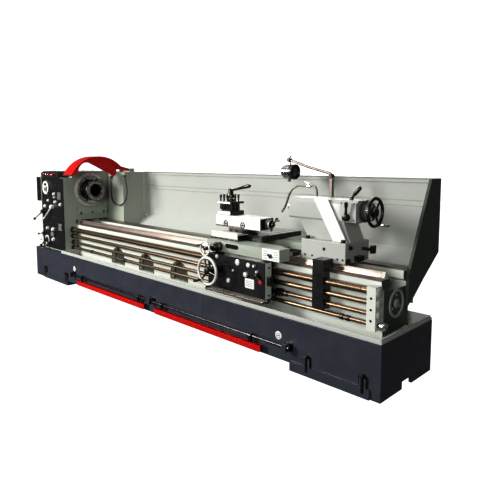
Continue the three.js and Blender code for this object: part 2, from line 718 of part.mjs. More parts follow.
add('speed_dial', join(
  ring('y', 58, 76, -350, -338, DIAL, 32),
  bar('y', 24, -372, HEAD.front - 9 - GAP, DIAL, 20),
  block(DIAL[0] - 62, DIAL[0] + 62, -349, -339, DIAL[1] - 7, DIAL[1] + 7)), CHROME);
add('range_lever', lever('y', [-1908, -344, 828], [-2050, -372, 690], 24, 8, 13), CHROME);
add('direction_lever', lever('y', [-2159, -344, 760], [-2205, -420, 676], 24, 8, 16), BLACK);
add('pitch_lever', lever('y', [-2094, -344, 430], [-2094, -405, 372], 24, 8, 16), BLACK);

add('lead_screw', bar('x', RODS.lead.r, -2296, ROD_END, leadAxis, 20), STEEL);
add('feed_rod', bar('x', RODS.feed.r, -1700, ROD_END, [ROD_Y, RODS.feed.z], 18), STEEL);
add('control_rod', bar('x', RODS.control.r, -1700, ROD_END, [ROD_Y, RODS.control.z], 16), STEEL);
add('stop_rod', join(
  bar('x', RODS.stop.r, -1700, 2232, [ROD_Y, RODS.stop.z], 16),
  bar('x', 26, 2200, 2245, [ROD_Y, RODS.stop.z], 20)), STEEL);
add('end_bracket', makeEndBracket(), GREEN);
add('rod_support', makeRodSupport(), BLACK);
add('brake_pedal', makeBrakePedal(), RED);

add('saddle', makeSaddle(), GREEN, carriage);
add('apron', makeApron(), BLACK, carriage);
add('apron_wheel', makeApronWheel(), CHROME, carriage);
add('feed_lever', lever('y', [1337, -362, 558], [1410, -392, 528], 18, 6, 15), RED, carriage);
add('start_lever', join(
  ring('x', RODS.control.r + 1, 28, 1403, 1445, [ROD_Y, RODS.control.z], 16),
  strut([1424, ROD_Y - 20, RODS.control.z - 12], [1424, -345, 398], 7, 10),
  ball([1424, -345, 398], 16)), BLACK, carriage);
add('cross_slide', makeCrossSlide(), GREEN, carriage);
add('cross_wheel', makeCrossWheel(), CHROME, carriage);
add('swivel_base', bar(
  'z', SWIVEL.r, CROSS.top + GAP, SWIVEL.top, [SWIVEL.x, SWIVEL.y], 36), BLACK, carriage);
add('top_slide', makeTopSlide(), STEEL, carriage);
add('compound_handle', makeCompoundHandle(), CHROME, carriage);
add('toolpost', makeToolpost(), BLACK, carriage);
add('toolpost_lever', makeToolpostLever(), BLACK, carriage);
add('lamp_post', block(
  LAMP.postX - 14, LAMP.postX + 14, LAMP.y - 14, LAMP.y + 14,
  SADDLE.top + GAP, LAMP.postTop), GREEN, carriage);
add('lamp_arm', makeLampArm(), STEEL, carriage);
add('lamp_head', makeLampHead(), CHROME, carriage);
add('coolant_pipe', pipe([
  [1376, 258, SADDLE.top + GAP], [1376, 258, 900], [1376, 258, 1080], [1368, 258, 1136], [1335, 258, 1153],
  [1262, 258, 1152], [1200, 258, 1152], [1152, 254, 1132], [1118, 250, 1092], [1093, 248, 1032],
  [1072, 247, 985], [1044, 245, 940]],
8, 8, 22), STEEL, carriage);

add('tailstock_base', block(
  TAIL.left, TAIL.right, -TAIL.half, TAIL.half, SADDLE.bottom, TAIL.baseTop), GREEN, tailstock);
add('tailstock_body', makeTailBody(), GREEN, tailstock);
add('quill', makeQuill(), CHROME, tailstock);
add('tailstock_wheel', makeTailWheel(), BLACK, tailstock);
add('quill_lock', join(
  bar('z', 14, 1092.4, 1112, [1865, -30], 16),
  strut([1865, -30, 1104], [1893, -30, 1134], 7, 10),
  strut([1884, -30, 1124], [1930, -30, 1176], 13, 12)), BLACK, tailstock);
add('tailstock_clamp', lever('y', [1880, -115, 985], [1892, -132, 1075], 24, 8, 13), BLACK, tailstock);

export default lathe;
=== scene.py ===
"""An engine lathe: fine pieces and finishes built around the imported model.

Lengths in the builders below are millimetres in the row frame; MM turns them into Blender's metres.
"""

import json
import math

import bmesh
import bpy
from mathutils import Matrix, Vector


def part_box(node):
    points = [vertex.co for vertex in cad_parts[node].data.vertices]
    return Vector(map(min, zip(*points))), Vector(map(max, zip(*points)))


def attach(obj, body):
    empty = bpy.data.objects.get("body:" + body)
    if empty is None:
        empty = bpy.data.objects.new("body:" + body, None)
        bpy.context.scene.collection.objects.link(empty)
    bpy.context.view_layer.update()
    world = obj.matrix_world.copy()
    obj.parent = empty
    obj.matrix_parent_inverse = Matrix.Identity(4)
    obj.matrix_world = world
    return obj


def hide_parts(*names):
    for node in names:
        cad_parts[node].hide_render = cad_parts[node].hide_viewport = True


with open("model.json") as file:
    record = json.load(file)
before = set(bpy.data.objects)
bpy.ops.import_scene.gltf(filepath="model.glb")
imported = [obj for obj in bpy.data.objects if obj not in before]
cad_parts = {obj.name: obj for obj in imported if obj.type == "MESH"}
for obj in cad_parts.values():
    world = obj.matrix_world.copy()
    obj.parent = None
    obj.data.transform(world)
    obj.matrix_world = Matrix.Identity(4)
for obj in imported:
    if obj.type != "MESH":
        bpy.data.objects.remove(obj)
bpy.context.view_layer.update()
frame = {"nodes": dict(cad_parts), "record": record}

MM = 0.001
SPINDLE = (0, 1020)                   # y and z of the spindle's axis
LEAD, FEED, SWITCH, STOP = (-220, 580), (-220, 510), (-220, 442), (-220, 382)     # the four rods' axes
ROD_END = 2165
TURRET = (722, -20)                   # x and y of the toolpost's axis
MOTOR = (60, 165)                     # y and z of the motor's axis
BODY_OF = {node: body for body, nodes in frame["record"]["behaviour"]["bodies"].items() for node in nodes}


def box(node):
    """A node's x0, x1, y0, y1, z0, z1 at rest, in millimetres."""
    low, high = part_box(node)
    return [value / MM for pair in zip(low, high) for value in pair]


def turns(count, first=0.0):
    """Cosines and sines of evenly spaced directions round a circle."""
    angles = (first + 2 * math.pi * i / count for i in range(count))
    return [(math.cos(angle), math.sin(angle)) for angle in angles]


def arc(centre, r, start, end, steps):
    """Points along an arc whose two angles are given in half turns."""
    angles = (math.pi * (start + (end - start) * k / steps) for k in range(steps + 1))
    return [(centre[0] + r * math.cos(angle), centre[1] + r * math.sin(angle)) for angle in angles]


# ------------------------------------------------------------------ camera and lights

def make_camera():
    data = bpy.data.cameras.new("camera")
    data.sensor_width = 36
    data.lens = 35.46
    data.shift_y = -0.0768
    camera = bpy.data.objects.new("camera", data)
    camera.location = (3.614, -2.743, 1.334)
    camera.rotation_euler = (math.pi / 2 - 0.1, 0, 0.7763)
    bpy.context.scene.collection.objects.link(camera)
    bpy.context.scene.camera = camera


def add_light(name, place, target, size, power, tint=(1, 1, 1)):
    data = bpy.data.lights.new(name, "AREA")
    data.size = size
    data.energy = power
    data.color = tint
    light = bpy.data.objects.new(name, data)
    light.location = place
    light.rotation_euler = (Vector(target) - Vector(place)).to_track_quat("-Z", "Y").to_euler()
    bpy.context.scene.collection.objects.link(light)


def make_studio():
    """Soft light from the front left, the front right, above and behind, over a faint even glow."""
    world = bpy.data.worlds.new("studio")
    world.use_nodes = True
    background = world.node_tree.nodes["Background"]
    background.inputs["Color"].default_value = (1, 1, 1, 1)
    background.inputs["Strength"].default_value = 0.10
    bpy.context.scene.world = world
    bpy.context.scene.view_settings.view_transform = "Standard"
    bpy.context.scene.view_settings.gamma = 0.82
    add_light("key", (-3.4, -5.6, 3.0), (-0.4, -0.2, 0.7), 2.2, 700, (1.0, 0.985, 0.96))
    add_light("front_fill", (3.4, -5.8, 2.2), (0.6, 0, 0.7), 2.4, 170)
    add_light("top", (-0.5, -0.6, 4.6), (0, 0.2, 0.8), 3.6, 75)
    add_light("back_fill", (-3.2, 5.2, 3.0), (-0.4, 0.4, 0.7), 3.0, 330)


def make_floor():
    """White paper, curved up all round, that throws no light of its own onto the machine."""
    pale = bpy.data.materials.new("studio_paper")
    pale.use_nodes = True
    shader = pale.node_tree.nodes["Principled BSDF"]
    shader.inputs["Base Color"].default_value = (0.9, 0.9, 0.9, 1)
    shader.inputs["Roughness"].default_value = 0.95
    shader.inputs["Specular IOR Level"].default_value = 0.0
    shader.inputs["Emission Color"].default_value = (1, 1, 1, 1)
    shader.inputs["Emission Strength"].default_value = 1.2
    bm = bmesh.new()
    radius, height, rows = 16.0, 14.0, 10
    rings = []
    for i in range(rows + 1):
        turn = i / rows * math.pi / 2
        rings.append((radius - 3 + 3 * math.sin(turn), 3 - 3 * math.cos(turn)))
    rings.append((radius, height))
    columns = 64
    grid = [[bm.verts.new((r * a, r * b, z)) for a, b in turns(columns)] for r, z in rings]
    bm.faces.new(grid[0])
    for low, high in zip(grid, grid[1:]):
        for c in range(columns):
            d = (c + 1) % columns
            bm.faces.new((low[c], low[d], high[d], high[c]))
    mesh = bpy.data.meshes.new("studio_floor")
    bm.to_mesh(mesh)
    bm.free()
    for polygon in mesh.polygons:
        polygon.use_smooth = True
    mesh.materials.append(pale)
    floor = bpy.data.objects.new("studio_floor", mesh)
    bpy.context.scene.collection.objects.link(floor)
    floor.visible_diffuse = False
    floor.visible_glossy = False
    floor.visible_shadow = False


# ------------------------------------------------------------------ finishes

class Finish:
    """A procedural material and the record's slot that it belongs to."""

    def __init__(self, name, slot, colour, roughness, metallic=0.0):
        self.slot = slot
        self.material = bpy.data.materials.new(name)
        self.material.use_nodes = True
        self.tree = self.material.node_tree
        self.shader = self.tree.nodes["Principled BSDF"]
        self.shader.inputs["Metallic"].default_value = metallic
        self.colour = colour
        self.roughness = roughness
        self.place = self.tree.nodes.new("ShaderNodeTexCoord").outputs["Object"]

    def noise(self, scale, detail=3.0, stretch=(1, 1, 1)):
        mapping = self.tree.nodes.new("ShaderNodeMapping")
        mapping.inputs["Scale"].default_value = stretch
        texture = self.tree.nodes.new("ShaderNodeTexNoise")
        texture.inputs["Scale"].default_value = scale
        texture.inputs["Detail"].default_value = detail
        self.tree.links.new(self.place, mapping.inputs["Vector"])
        self.tree.links.new(mapping.outputs["Vector"], texture.inputs["Vector"])
        return texture.outputs["Fac"]

    def spread(self, source, low, high, start=0.35, end=0.65):
        """Maps a noise to a range of values."""
        ranged = self.tree.nodes.new("ShaderNodeMapRange")
        for name, value in (("From Min", start), ("From Max", end), ("To Min", low), ("To Max", high)):
            ranged.inputs[name].default_value = value
        self.tree.links.new(source, ranged.inputs["Value"])
        return ranged.outputs["Result"]

    def blend(self, factor, first, second):
        """Mixes two colours, each a plain colour or an earlier node's output."""
        mix = self.tree.nodes.new("ShaderNodeMix")
        mix.data_type = "RGBA"
        self.tree.links.new(factor, mix.inputs["Factor"])
        for socket, value in ((mix.inputs[6], first), (mix.inputs[7], second)):
            if isinstance(value, tuple):
                socket.default_value = (*value, 1)
            else:
                self.tree.links.new(value, socket)
        return mix.outputs[2]

    def bump(self, source, strength, distance=0.001):
        node = self.tree.nodes.new("ShaderNodeBump")
        node.inputs["Strength"].default_value = strength
        node.inputs["Distance"].default_value = distance
        self.tree.links.new(source, node.inputs["Height"])
        self.tree.links.new(node.outputs["Normal"], self.shader.inputs["Normal"])

    def wear(self, other, scale=2.5, patches=0.35, stretch=(1, 1, 1), fine=60.0):
        """Colour drifting towards a second tone, with small marks in it and uneven gloss."""
        drift = self.spread(self.noise(scale, 4.0, stretch), 0.0, patches)
        toned = self.blend(drift, self.colour, other)
        marks = self.spread(self.noise(fine, 6.0, stretch), 0.0, patches * 0.6, 0.58, 0.75)
        self.tree.links.new(self.blend(marks, toned, other), self.shader.inputs["Base Color"])
        uneven = self.spread(self.noise(scale * 6, 4.0, stretch), self.roughness * 0.8, self.roughness * 1.25)
        self.tree.links.new(uneven, self.shader.inputs["Roughness"])
        return self


def enamel(name, slot, colour, roughness=0.42, dust=0.22):
    """Sprayed machine enamel: faint cloudiness, handling marks and orange peel."""
    finish = Finish(name, slot, colour, roughness)
    finish.wear(tuple(c * 0.72 for c in colour), 1.6, dust)
    finish.bump(finish.noise(380, 2.0), 0.10, 0.0004)
    finish.shader.inputs["Specular IOR Level"].default_value = 0.35
    finish.shader.inputs["Coat Weight"].default_value = 0.08
    finish.shader.inputs["Coat Roughness"].default_value = 0.25
    return finish


def ground(name, slot, colour, tone, roughness=0.28, stretch=(0.6, 22, 22), depth=0.12, metallic=1.0):
    """Ground or turned steel: fine marks drawn out along one direction under a film of oil."""
    finish = Finish(name, slot, colour, roughness, metallic)
    finish.wear(tone, 6.0, 0.75, stretch, 30.0)
    finish.bump(finish.noise(60, 5.0, stretch), depth, 0.0003)
    return finish


def make_finishes():
    paint, dark, steel = "body_paint", "black_paint", "machined_steel"
    return {
        "green": enamel("green_enamel", paint, (0.36, 0.40, 0.335)),
        "casting": enamel("casting_enamel", paint, (0.64, 0.67, 0.61), 0.38),
        "wall": enamel("splash_enamel", paint, (0.45, 0.465, 0.435), 0.40, 0.16),
        # Near-black green: the own colour of some dark parts and print, and painted shade where it covers
        # faces and openings that lie in shade.
        "dark_green_and_painted_shade": enamel("dark_enamel_and_painted_shade", paint, (0.055, 0.070, 0.055), 0.42),
        "navy": enamel("base_enamel", "base_paint", (0.036, 0.039, 0.054), 0.34),
        "black": enamel("black_enamel", dark, (0.012, 0.012, 0.013), 0.30),
        # Black: the front panel's own paint, and painted shade where it fills holes, slots, a recess and the
        # spindle's bore, and covers shaded faces and the swivel's shadow on the cross slide.
        "panel": enamel("panel_black_and_painted_shade", dark, (0.010, 0.010, 0.011), 0.22, 0.4),
        "red": enamel("guard_red", "red_paint", (0.52, 0.006, 0.004), 0.28, 0.30),
        "red_plastic": enamel("button_red", "red_plastic", (0.40, 0.006, 0.005), 0.24, 0.1),
        "white": enamel("label_white", paint, (0.80, 0.80, 0.78), 0.4, 0.12),
        "steel": ground("ground_steel", steel, (0.66, 0.65, 0.63), (0.45, 0.43, 0.40)),
        "way": ground("way_steel", steel, (0.36, 0.30, 0.26), (0.16, 0.12, 0.10), 0.36, (0.5, 30, 30)),
        # Warm, dark steel: a painted reflection, copying the warm tints and dark edges that the rods mirror
        # from their surroundings.
        "rod": ground("rod_steel_painted_reflection", steel, (0.28, 0.20, 0.135), (0.11, 0.07, 0.045), 0.36, (0.4, 26, 26)),
        "slide": ground("slide_steel", steel, (0.84, 0.83, 0.81), (0.70, 0.68, 0.65), 0.40,
                        (0.6, 14, 14), 0.08, 0.3),
        "brown": ground("aged_tube", steel, (0.24, 0.20, 0.175), (0.13, 0.10, 0.09), 0.42, (3, 3, 3)),
        "oxide": ground("black_oxide", steel, (0.050, 0.048, 0.047), (0.10, 0.09, 0.085), 0.30, (4, 4, 4)),
        "chrome": ground("bright_chrome", "chrome", (0.72, 0.72, 0.73), (0.55, 0.55, 0.56), 0.12,
                         (2, 2, 2), 0.02),
        "nose": ground("nose_steel", "chrome", (0.22, 0.215, 0.21), (0.11, 0.11, 0.11), 0.18,
                       (2, 2, 2), 0.03),
        "rubber": enamel("black_rubber", "rubber", (0.014, 0.014, 0.014), 0.62, 0.5),
        "lens": enamel("lens_glass", "chrome", (0.045, 0.048, 0.052), 0.06, 0.1),
    }


# ------------------------------------------------------------------ shapes

def point_on(axis, along, a, b):
    """A point from its place along an axis and its two other coordinates in x, y, z order."""
    return {"x": (along, a, b), "y": (a, along, b), "z": (a, b, along)}[axis]


def split(axis, at):
    """A point's place along an axis, and its two other coordinates."""
    i = "xyz".index(axis)
    return at[i], at[:i] + at[i + 1:]


def circle(axis, along, across, r, sides, phase=0.0):
    """Points of a circle around an axis, on the centre `across`."""
    return [point_on(axis, along, across[0] + r * a, across[1] + r * b) for a, b in turns(sides, phase)]


class Shape:
    """Closed solids, in millimetres, gathered into one mesh."""

    def __init__(self):
        self.bm = bmesh.new()

    def skin(self, rings, loop=False):
        """Joins rings of points into a surface, closed by end caps or back onto the first ring."""
        made = [[self.bm.verts.new([c * MM for c in point]) for point in ring] for ring in rings]
        pairs = list(zip(made, made[1:]))
        if loop:
            pairs.append((made[-1], made[0]))
        for a, b in pairs:
            for i in range(len(a)):
                j = (i + 1) % len(a)
                self.bm.faces.new((a[i], a[j], b[j], b[i]))
        if not loop:
            self.bm.faces.new(made[0])
            self.bm.faces.new(made[-1])
        return self

    def block(self, x0, x1, y0, y1, z0, z1):
        return self.skin([[(x0, y0, z), (x1, y0, z), (x1, y1, z), (x0, y1, z)] for z in (z0, z1)])

    def turned(self, profile, axis, across, sides=48, loop=False, phase=0.0):
        """A profile of (radius, position) pairs turned about an axis; loop closes it around a bore."""
        return self.skin([circle(axis, h, across, r, sides, phase) for r, h in profile], loop)

    def bar(self, axis, r, start, end, across, sides=32, edge=0.0):
        """A round bar with chamfered ends."""
        if not edge:
            return self.turned([(r, start), (r, end)], axis, across, sides)
        step = math.copysign(edge, end - start)
        profile = [(r - edge, start), (r, start + step), (r, end - step), (r - edge, end)]
        return self.turned(profile, axis, across, sides)

    def ring(self, axis, inner, outer, start, end, across, sides=64):
        profile = [(inner, start), (outer, start), (outer, end), (inner, end)]
        return self.turned(profile, axis, across, sides, loop=True)

    def prism(self, axis, outline, start, end):
        """An outline pushed along an axis."""
        return self.skin([[point_on(axis, along, a, b) for a, b in outline] for along in (start, end)])

    def rod(self, start, end, r0, r1=None, sides=20):
        """A straight, perhaps tapered, round rod between any two points."""
        return self.tube([start, end], [r0, r0 if r1 is None else r1], sides)

    def tube(self, points, radii, sides=16):
        """A round tube through a list of points, of one radius or one for each point."""
        path = [Vector(p) for p in points]
        if not isinstance(radii, (list, tuple)):
            radii = [radii] * len(path)
        first = (path[1] - path[0]).normalized()
        side = first.orthogonal().normalized()
        rings = []
        for i, p in enumerate(path):
            ahead = path[min(i + 1, len(path) - 1)] - path[max(i - 1, 0)]
            ahead.normalize()
            side = (side - ahead * side.dot(ahead)).normalized()
            up = ahead.cross(side)
            rings.append([p + side * radii[i] * a + up * radii[i] * b for a, b in turns(sides)])
        return self.skin(rings)

    def ball(self, centre, r, sides=24, rows=14):
        x, y, z = centre
        profile = [(max(r * math.sin(math.pi * i / rows), 0.02 * r), z - r * math.cos(math.pi * i / rows))
                   for i in range(rows + 1)]
        return self.turned(profile, "z", (x, y), sides)

    def torus(self, axis, along, across, radius, rim, sides=72, around=16):
        profile = [(radius + rim * a, along + rim * b) for a, b in turns(around)]
        return self.turned(profile, axis, across, sides, loop=True)

    def cap_screw(self, axis, at, across, r, height, way):
        """A socket-head screw standing on the face at `at` and pointing along way * axis."""
        top = at + way * height
        floor = top - way * height * 0.6
        profile = [(r, at), (r, top - way * 0.15 * r), (r * 0.86, top), (r * 0.55, top), (r * 0.55, floor)]
        return self.turned(profile, axis, across, 12)

    def cap_screws(self, axis, at, places, r, height, way):
        for across in places:
            self.cap_screw(axis, at, across, r, height, way)
        return self

    def hexagon(self, axis, at, across, r, height, way):
        """A hexagon nut or bolt head on its washer."""
        self.turned([(r * 1.25, at), (r * 1.25, at + way * r * 0.2)], axis, across, 28)
        corner = at + way * (height - r * 0.12)
        profile = [(r, at + way * r * 0.2), (r, corner), (r * 0.86, at + way * height)]
        return self.turned(profile, axis, across, 6)

    def ticks(self, axis, across, r, start, end, count, width=0.7, proud=0.3):
        """Graduation lines, standing a little proud of a cylinder."""
        for i in range(count):
            angle = 2 * math.pi * i / count
            long = end if i % 5 == 0 else start + (end - start) * 0.6
            half = width / 2 / r
            ring = []
            for along in (start, long):
                corners = [(r - 0.5, angle - half), (r + proud, angle - half), (r + proud, angle + half),
                           (r - 0.5, angle + half)]
                ring.append([circle(axis, along, across, radius, 1, phase)[0] for radius, phase in corners])
            self.skin(ring)
        return self


def dress(obj, finish, bevel=0.0, smooth=35):
    """Gives a piece its finish, rounded edges and smooth round faces."""
    obj.data.materials.clear()
    obj.data.materials.append(FINISHES[finish].material)
    for polygon in obj.data.polygons:
        polygon.use_smooth = True
    obj.data.set_sharp_from_angle(angle=math.radians(smooth))
    if bevel:
        modifier = obj.modifiers.new("rounded_edges", "BEVEL")
        modifier.width = bevel * MM
        modifier.segments = 2
        modifier.limit_method = "ANGLE"
        modifier.angle_limit = math.radians(smooth)
        modifier.harden_normals = True
        modifier.use_clamp_overlap = True


def settle(name, bm, finish, body, bevel, replaces, smooth):
    """Makes an object of a mesh as a piece that rides on a body, and hides the parts it replaces."""
    mesh = bpy.data.meshes.new(name)
    bm.to_mesh(mesh)
    bm.free()
    obj = bpy.data.objects.new(name, mesh)
    bpy.context.scene.collection.objects.link(obj)
    dress(obj, finish, bevel, smooth)
    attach(obj, body)
    if replaces:
        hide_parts(*replaces)
    return obj


def piece(name, shape, finish, body, bevel=0.0, replaces=(), smooth=35):
    bmesh.ops.recalc_face_normals(shape.bm, faces=shape.bm.faces)
    return settle(name, shape.bm, finish, body, bevel, replaces, smooth)


def eased(node, finish, bevel):
    """Stands for a CAD node with the same form and rounded edges."""
    bm = bmesh.new()
    bm.from_mesh(frame["nodes"][node].data)
    bmesh.ops.remove_doubles(bm, verts=bm.verts, dist=0.01 * MM)
    bmesh.ops.dissolve_limit(bm, angle_limit=math.radians(0.6), verts=bm.verts, edges=bm.edges)
    return settle(node + "_casting", bm, finish, BODY_OF[node], bevel, [node], 35)


def smooth_path(points, steps=8):
    """Points on a smooth curve through given ones."""
    path = [Vector(p) for p in points]
    path = [2 * path[0] - path[1], *path, 2 * path[-1] - path[-2]]
    made = []
    for a, b, c, d in zip(path, path[1:], path[2:], path[3:]):
        for i in range(steps):
            t = i / steps
            made.append(0.5 * (2 * b + (c - a) * t + (2 * a - 5 * b + 4 * c - d) * t * t
                               + (3 * b - a - 3 * c + d) * t ** 3))
    return made + [path[-2]]


def add_lever(shape, axis, pivot, end, hub, r, knob, way):
    """A domed hub, a tapered rod and a ball."""
    along, across = split(axis, pivot)
    deep = hub * 0.8
    steps = ((1, -1), (1, 0.5), (0.8, 0.9), (0.3, 1))
    shape.turned([(hub * wide, along + way * deep * far) for wide, far in steps], axis, across, 40)
    return shape.rod(pivot, end, r * 1.15, r * 0.75).ball(end, knob)


# ------------------------------------------------------------------ plain castings and sheet metal

CASTINGS = {
    "base": ("navy", 4), "chip_tray": ("wall", 2), "bed": ("casting", 2.5), "headstock": ("green", 5),
    "headstock_cover": ("green", 3), "gearbox": ("green", 4), "front_panel": ("panel", 1.5),
    "control_box": ("black", 2), "end_cover": ("casting", 3), "cabinet": ("green", 3),
    "cabinet_door": ("green", 2), "splash_guard": ("wall", 1.2), "end_panel": ("dark_green_and_painted_shade", 1.2),
    "end_bracket": ("casting", 3), "rod_support": ("black", 3), "saddle": ("green", 3),
    "apron": ("black", 2.5), "cross_slide": ("casting", 2.5),
    "top_slide": ("slide", 2.5), "lamp_post": ("brown", 3),
    "tailstock_base": ("wall", 5), "tailstock_body": ("wall", 5), "motor": ("navy", 2),
    "motor_pulley": ("steel", 1), "drive_belt": ("rubber", 1), "front_bearing": ("steel", 1.5),
    "bull_gear": ("steel", 0.8), "input_shaft": ("steel", 0.8), "change_gear_a": ("steel", 0.8),
    "change_gear_b": ("steel", 0.8), "change_gear_c": ("steel", 0.8),
}


def make_castings():
    for node, (finish, bevel) in CASTINGS.items():
        eased(node, finish, bevel)


# ------------------------------------------------------------------ base, tray and brake

def make_base_details():
    x0, x1, y0, _, _, z1 = box("base")
    front = y0 + 53                       # the front sheet, behind the pedal lugs
    labels, marks = Shape(), Shape()
    for x in (-1326, 1551):
        labels.turned([(27, front), (27, front - 2), (25, front - 3)], "y", (x, 204), 40)
        marks.ring("y", 15, 17.5, front - 3.6, front - 2.5, (x, 204), 40)
        marks.block(x - 9, x + 9, front - 3.6, front - 2.5, 201, 207)
    piece("base_discs", labels, "white", "root")
    piece("base_disc_marks", marks, "black", "root")
    bolts = Shape()
    for x in (-2040, -1510, 1790, 2190):
        bolts.block(x - 28, x + 28, front - 9, front + 1, 55, 125)
        bolts.bar("z", 9, 30, 140, (x, front - 12), 20, 1.5)
        bolts.hexagon("z", 125, (x, front - 12), 15, 12, 1)
    piece("levelling_bolts", bolts, "oxide", "root", 0.6)
    seams = Shape()
    for x in (-780, 780):
        seams.block(x - 2, x + 2, front - 1.2, front + 1, 50, z1 - 4)
    seams.block(x0 + 3, x1 - 3, front - 2.5, front + 1, z1 - 12, z1 - 3)
    seams.block(x0 + 3, -1478, front - 2.5, front + 1, 46, 56)
    seams.block(1658, x1 - 3, front - 2.5, front + 1, 46, 56)
    piece("base_seams", seams, "navy", "root", 0.8)
    hatch = Shape().block(x0 - 2.5, x0 + 1, -250, 60, 110, 290)
    hatch.cap_screws("x", x0 - 2, [(y, z) for y in (-225, 35) for z in (130, 270)], 6, 4, -1)
    piece("base_end_hatch", hatch, "navy", "root", 1)


def make_brake_pedal():
    axis = (-405, 153)
    plates = Shape()
    for x0, x1 in ((-1195, 37), (192, 1422)):
        outline = [(x0 + 14, 62), (x1 - 14, 62), (x1, 76), (x1, 112), (x0, 112), (x0, 76)]
        plates.prism("y", outline, -417, -407)
        plates.block(x0 + 2, x1 - 2, -417, -399, 107, 112)
        plates.block(x0 + 8, x1 - 8, -417, -401, 62, 66)
        for i in range(24):
            x = x0 + 40 + i * (x1 - x0 - 80) / 23
            plates.turned([(7, -416.8), (7, -418.5), (5, -419.5)], "y", (x, 87), 16)
    piece("kick_plates", plates, "red", "brake_pedal", 1.5, ["brake_pedal"])
    bar = Shape().bar("x", 8.5, -1350, 1662, axis, 32, 1.5)
    for x in (-1352, 1664):
        bar.bar("x", 18, x - 9, x + 9, axis, 24, 2)
    piece("pedal_bar", bar, "oxide", "brake_pedal")
    hangers = Shape()
    for x in (-1100, -60, 290, 1320):
        hangers.block(x - 16, x + 16, -411, -399, 88, 156)
        hangers.bar("x", 19, x - 17, x + 17, axis, 28, 1.5)
        hangers.cap_screws("y", -411, [(x, 98), (x, 110)], 4.5, 4, -1)
    piece("pedal_hangers", hangers, "oxide", "brake_pedal", 1)
    lugs = Shape()
    for x in (-1330, 120, 1640):
        lugs.cap_screws("y", -375, [(x + dx, z) for z in (138, 168) for dx in (-25, 25)], 5, 5, -1)
        lugs.block(x - 34, x + 34, -381, -375, 126, 180)
    piece("pedal_brackets", lugs, "oxide", "root", 1.5)


# ------------------------------------------------------------------ bed, ways and rods

def make_bed_details():
    _, x1, _, _, _, top = box("bed")
    start, end_x = -1626, x1 + 0.5
    vee = Shape()
    ridge = [(-152, 650.8), (-132.3, top + 0.8), (-123.7, top + 0.8), (-104, 650.8), (-104, 648),
             (-108, 648), (-124.5, top - 2), (-131.5, top - 2), (-148, 648), (-152, 648)]
    vee.prism("x", ridge, start, x1 - 25)
    for edge in ([(-181, 650.8), (-152, 650.8), (-152, 649), (-178, 649), (-178, 634), (-181, 634)],
                 [(87, 673), (181, 673), (181, 660), (179, 660), (179, 671), (89, 671), (89, 660), (87, 660)],
                 [(-104, 650.8), (-91, 650.8), (-91, 636), (-93, 636), (-93, 649), (-104, 649)]):
        vee.prism("x", edge, start, end_x)
    piece("ground_ways", vee, "way", "root")
    rack = Shape()
    pitch = 12.566
    count = int((2080 - start) / pitch)
    outline = [(start, 590)]
    for i in range(count):
        x = start + i * pitch
        outline += [(x + 1.2, 572), (x + 4.2, 562), (x + 7.4, 562), (x + 10.4, 572)]
    outline.append((start + count * pitch, 590))
    rack.prism("y", outline, -178, -158.5)
    piece("gear_rack", rack, "steel", "root")
    end, centre = Shape(), (0, 470)
    end.ring("x", 74, 90, x1 - 1, x1 + 9, centre)
    end.turned([(30, x1 - 1), (30, x1 + 7), (27, x1 + 9)], "x", centre, 48)
    for a, b in turns(3, math.pi / 2):
        end.bar("x", 9, x1 - 1, x1 + 6, (52 * a, centre[1] + 52 * b), 24, 1.5)
    piece("bed_end_boss", end, "green", "root", 1)
    # Painted shade: a dark plate over the bed's right-hand end face and a dark sheet across its hollow end,
    # for the shade on that side.
    face = Shape()
    outline = [(-156, 300), (156, 300), (156, 583), (178, 600), (178, 655), (90, 655), (90, 606),
               (122, 588), (122, 330), (-122, 330), (-122, 588), (-94, 606), (-94, 640), (-178, 640),
               (-178, 600), (-156, 583)]
    face.prism("x", outline, x1, x1 + 2)
    face.block(x1, x1 + 2, -122.5, 122.5, 329, 560)
    piece("bed_end_painted_shade", face, "dark_green_and_painted_shade", "root")
    for i, x in enumerate((-805, -300, 205)):
        rim = Shape()
        outer, inner = arc((x, 350), 124, 0, 1, 24), arc((x, 350), 114, 1, 0, 24)
        outline = [(x + 124, 303), *outer, (x - 124, 303), (x - 114, 303), *inner, (x + 114, 303)]
        rim.prism("y", outline, -160, -156)
        piece(f"window_rim_{i + 1}", rim, "dark_green_and_painted_shade", "root", 1)
        # Painted shade: a dark sheet just behind each window, where the inside of the bed lies in shade.
        back = Shape().block(x - 122, x + 122, -122, -119, 292, 474)
        piece(f"window_painted_shade_{i + 1}", back, "dark_green_and_painted_shade", "root")
    ribs = Shape()
    outline = [(-123.6, 420), (123.6, 420), (123.6, 560), (90, 575), (-90, 575), (-123.6, 560)]
    for i in range(9):
        x = -1500 + i * 430
        ribs.prism("x", outline, x, x + 22)
    piece("bed_ribs", ribs, "casting", "root", 2)


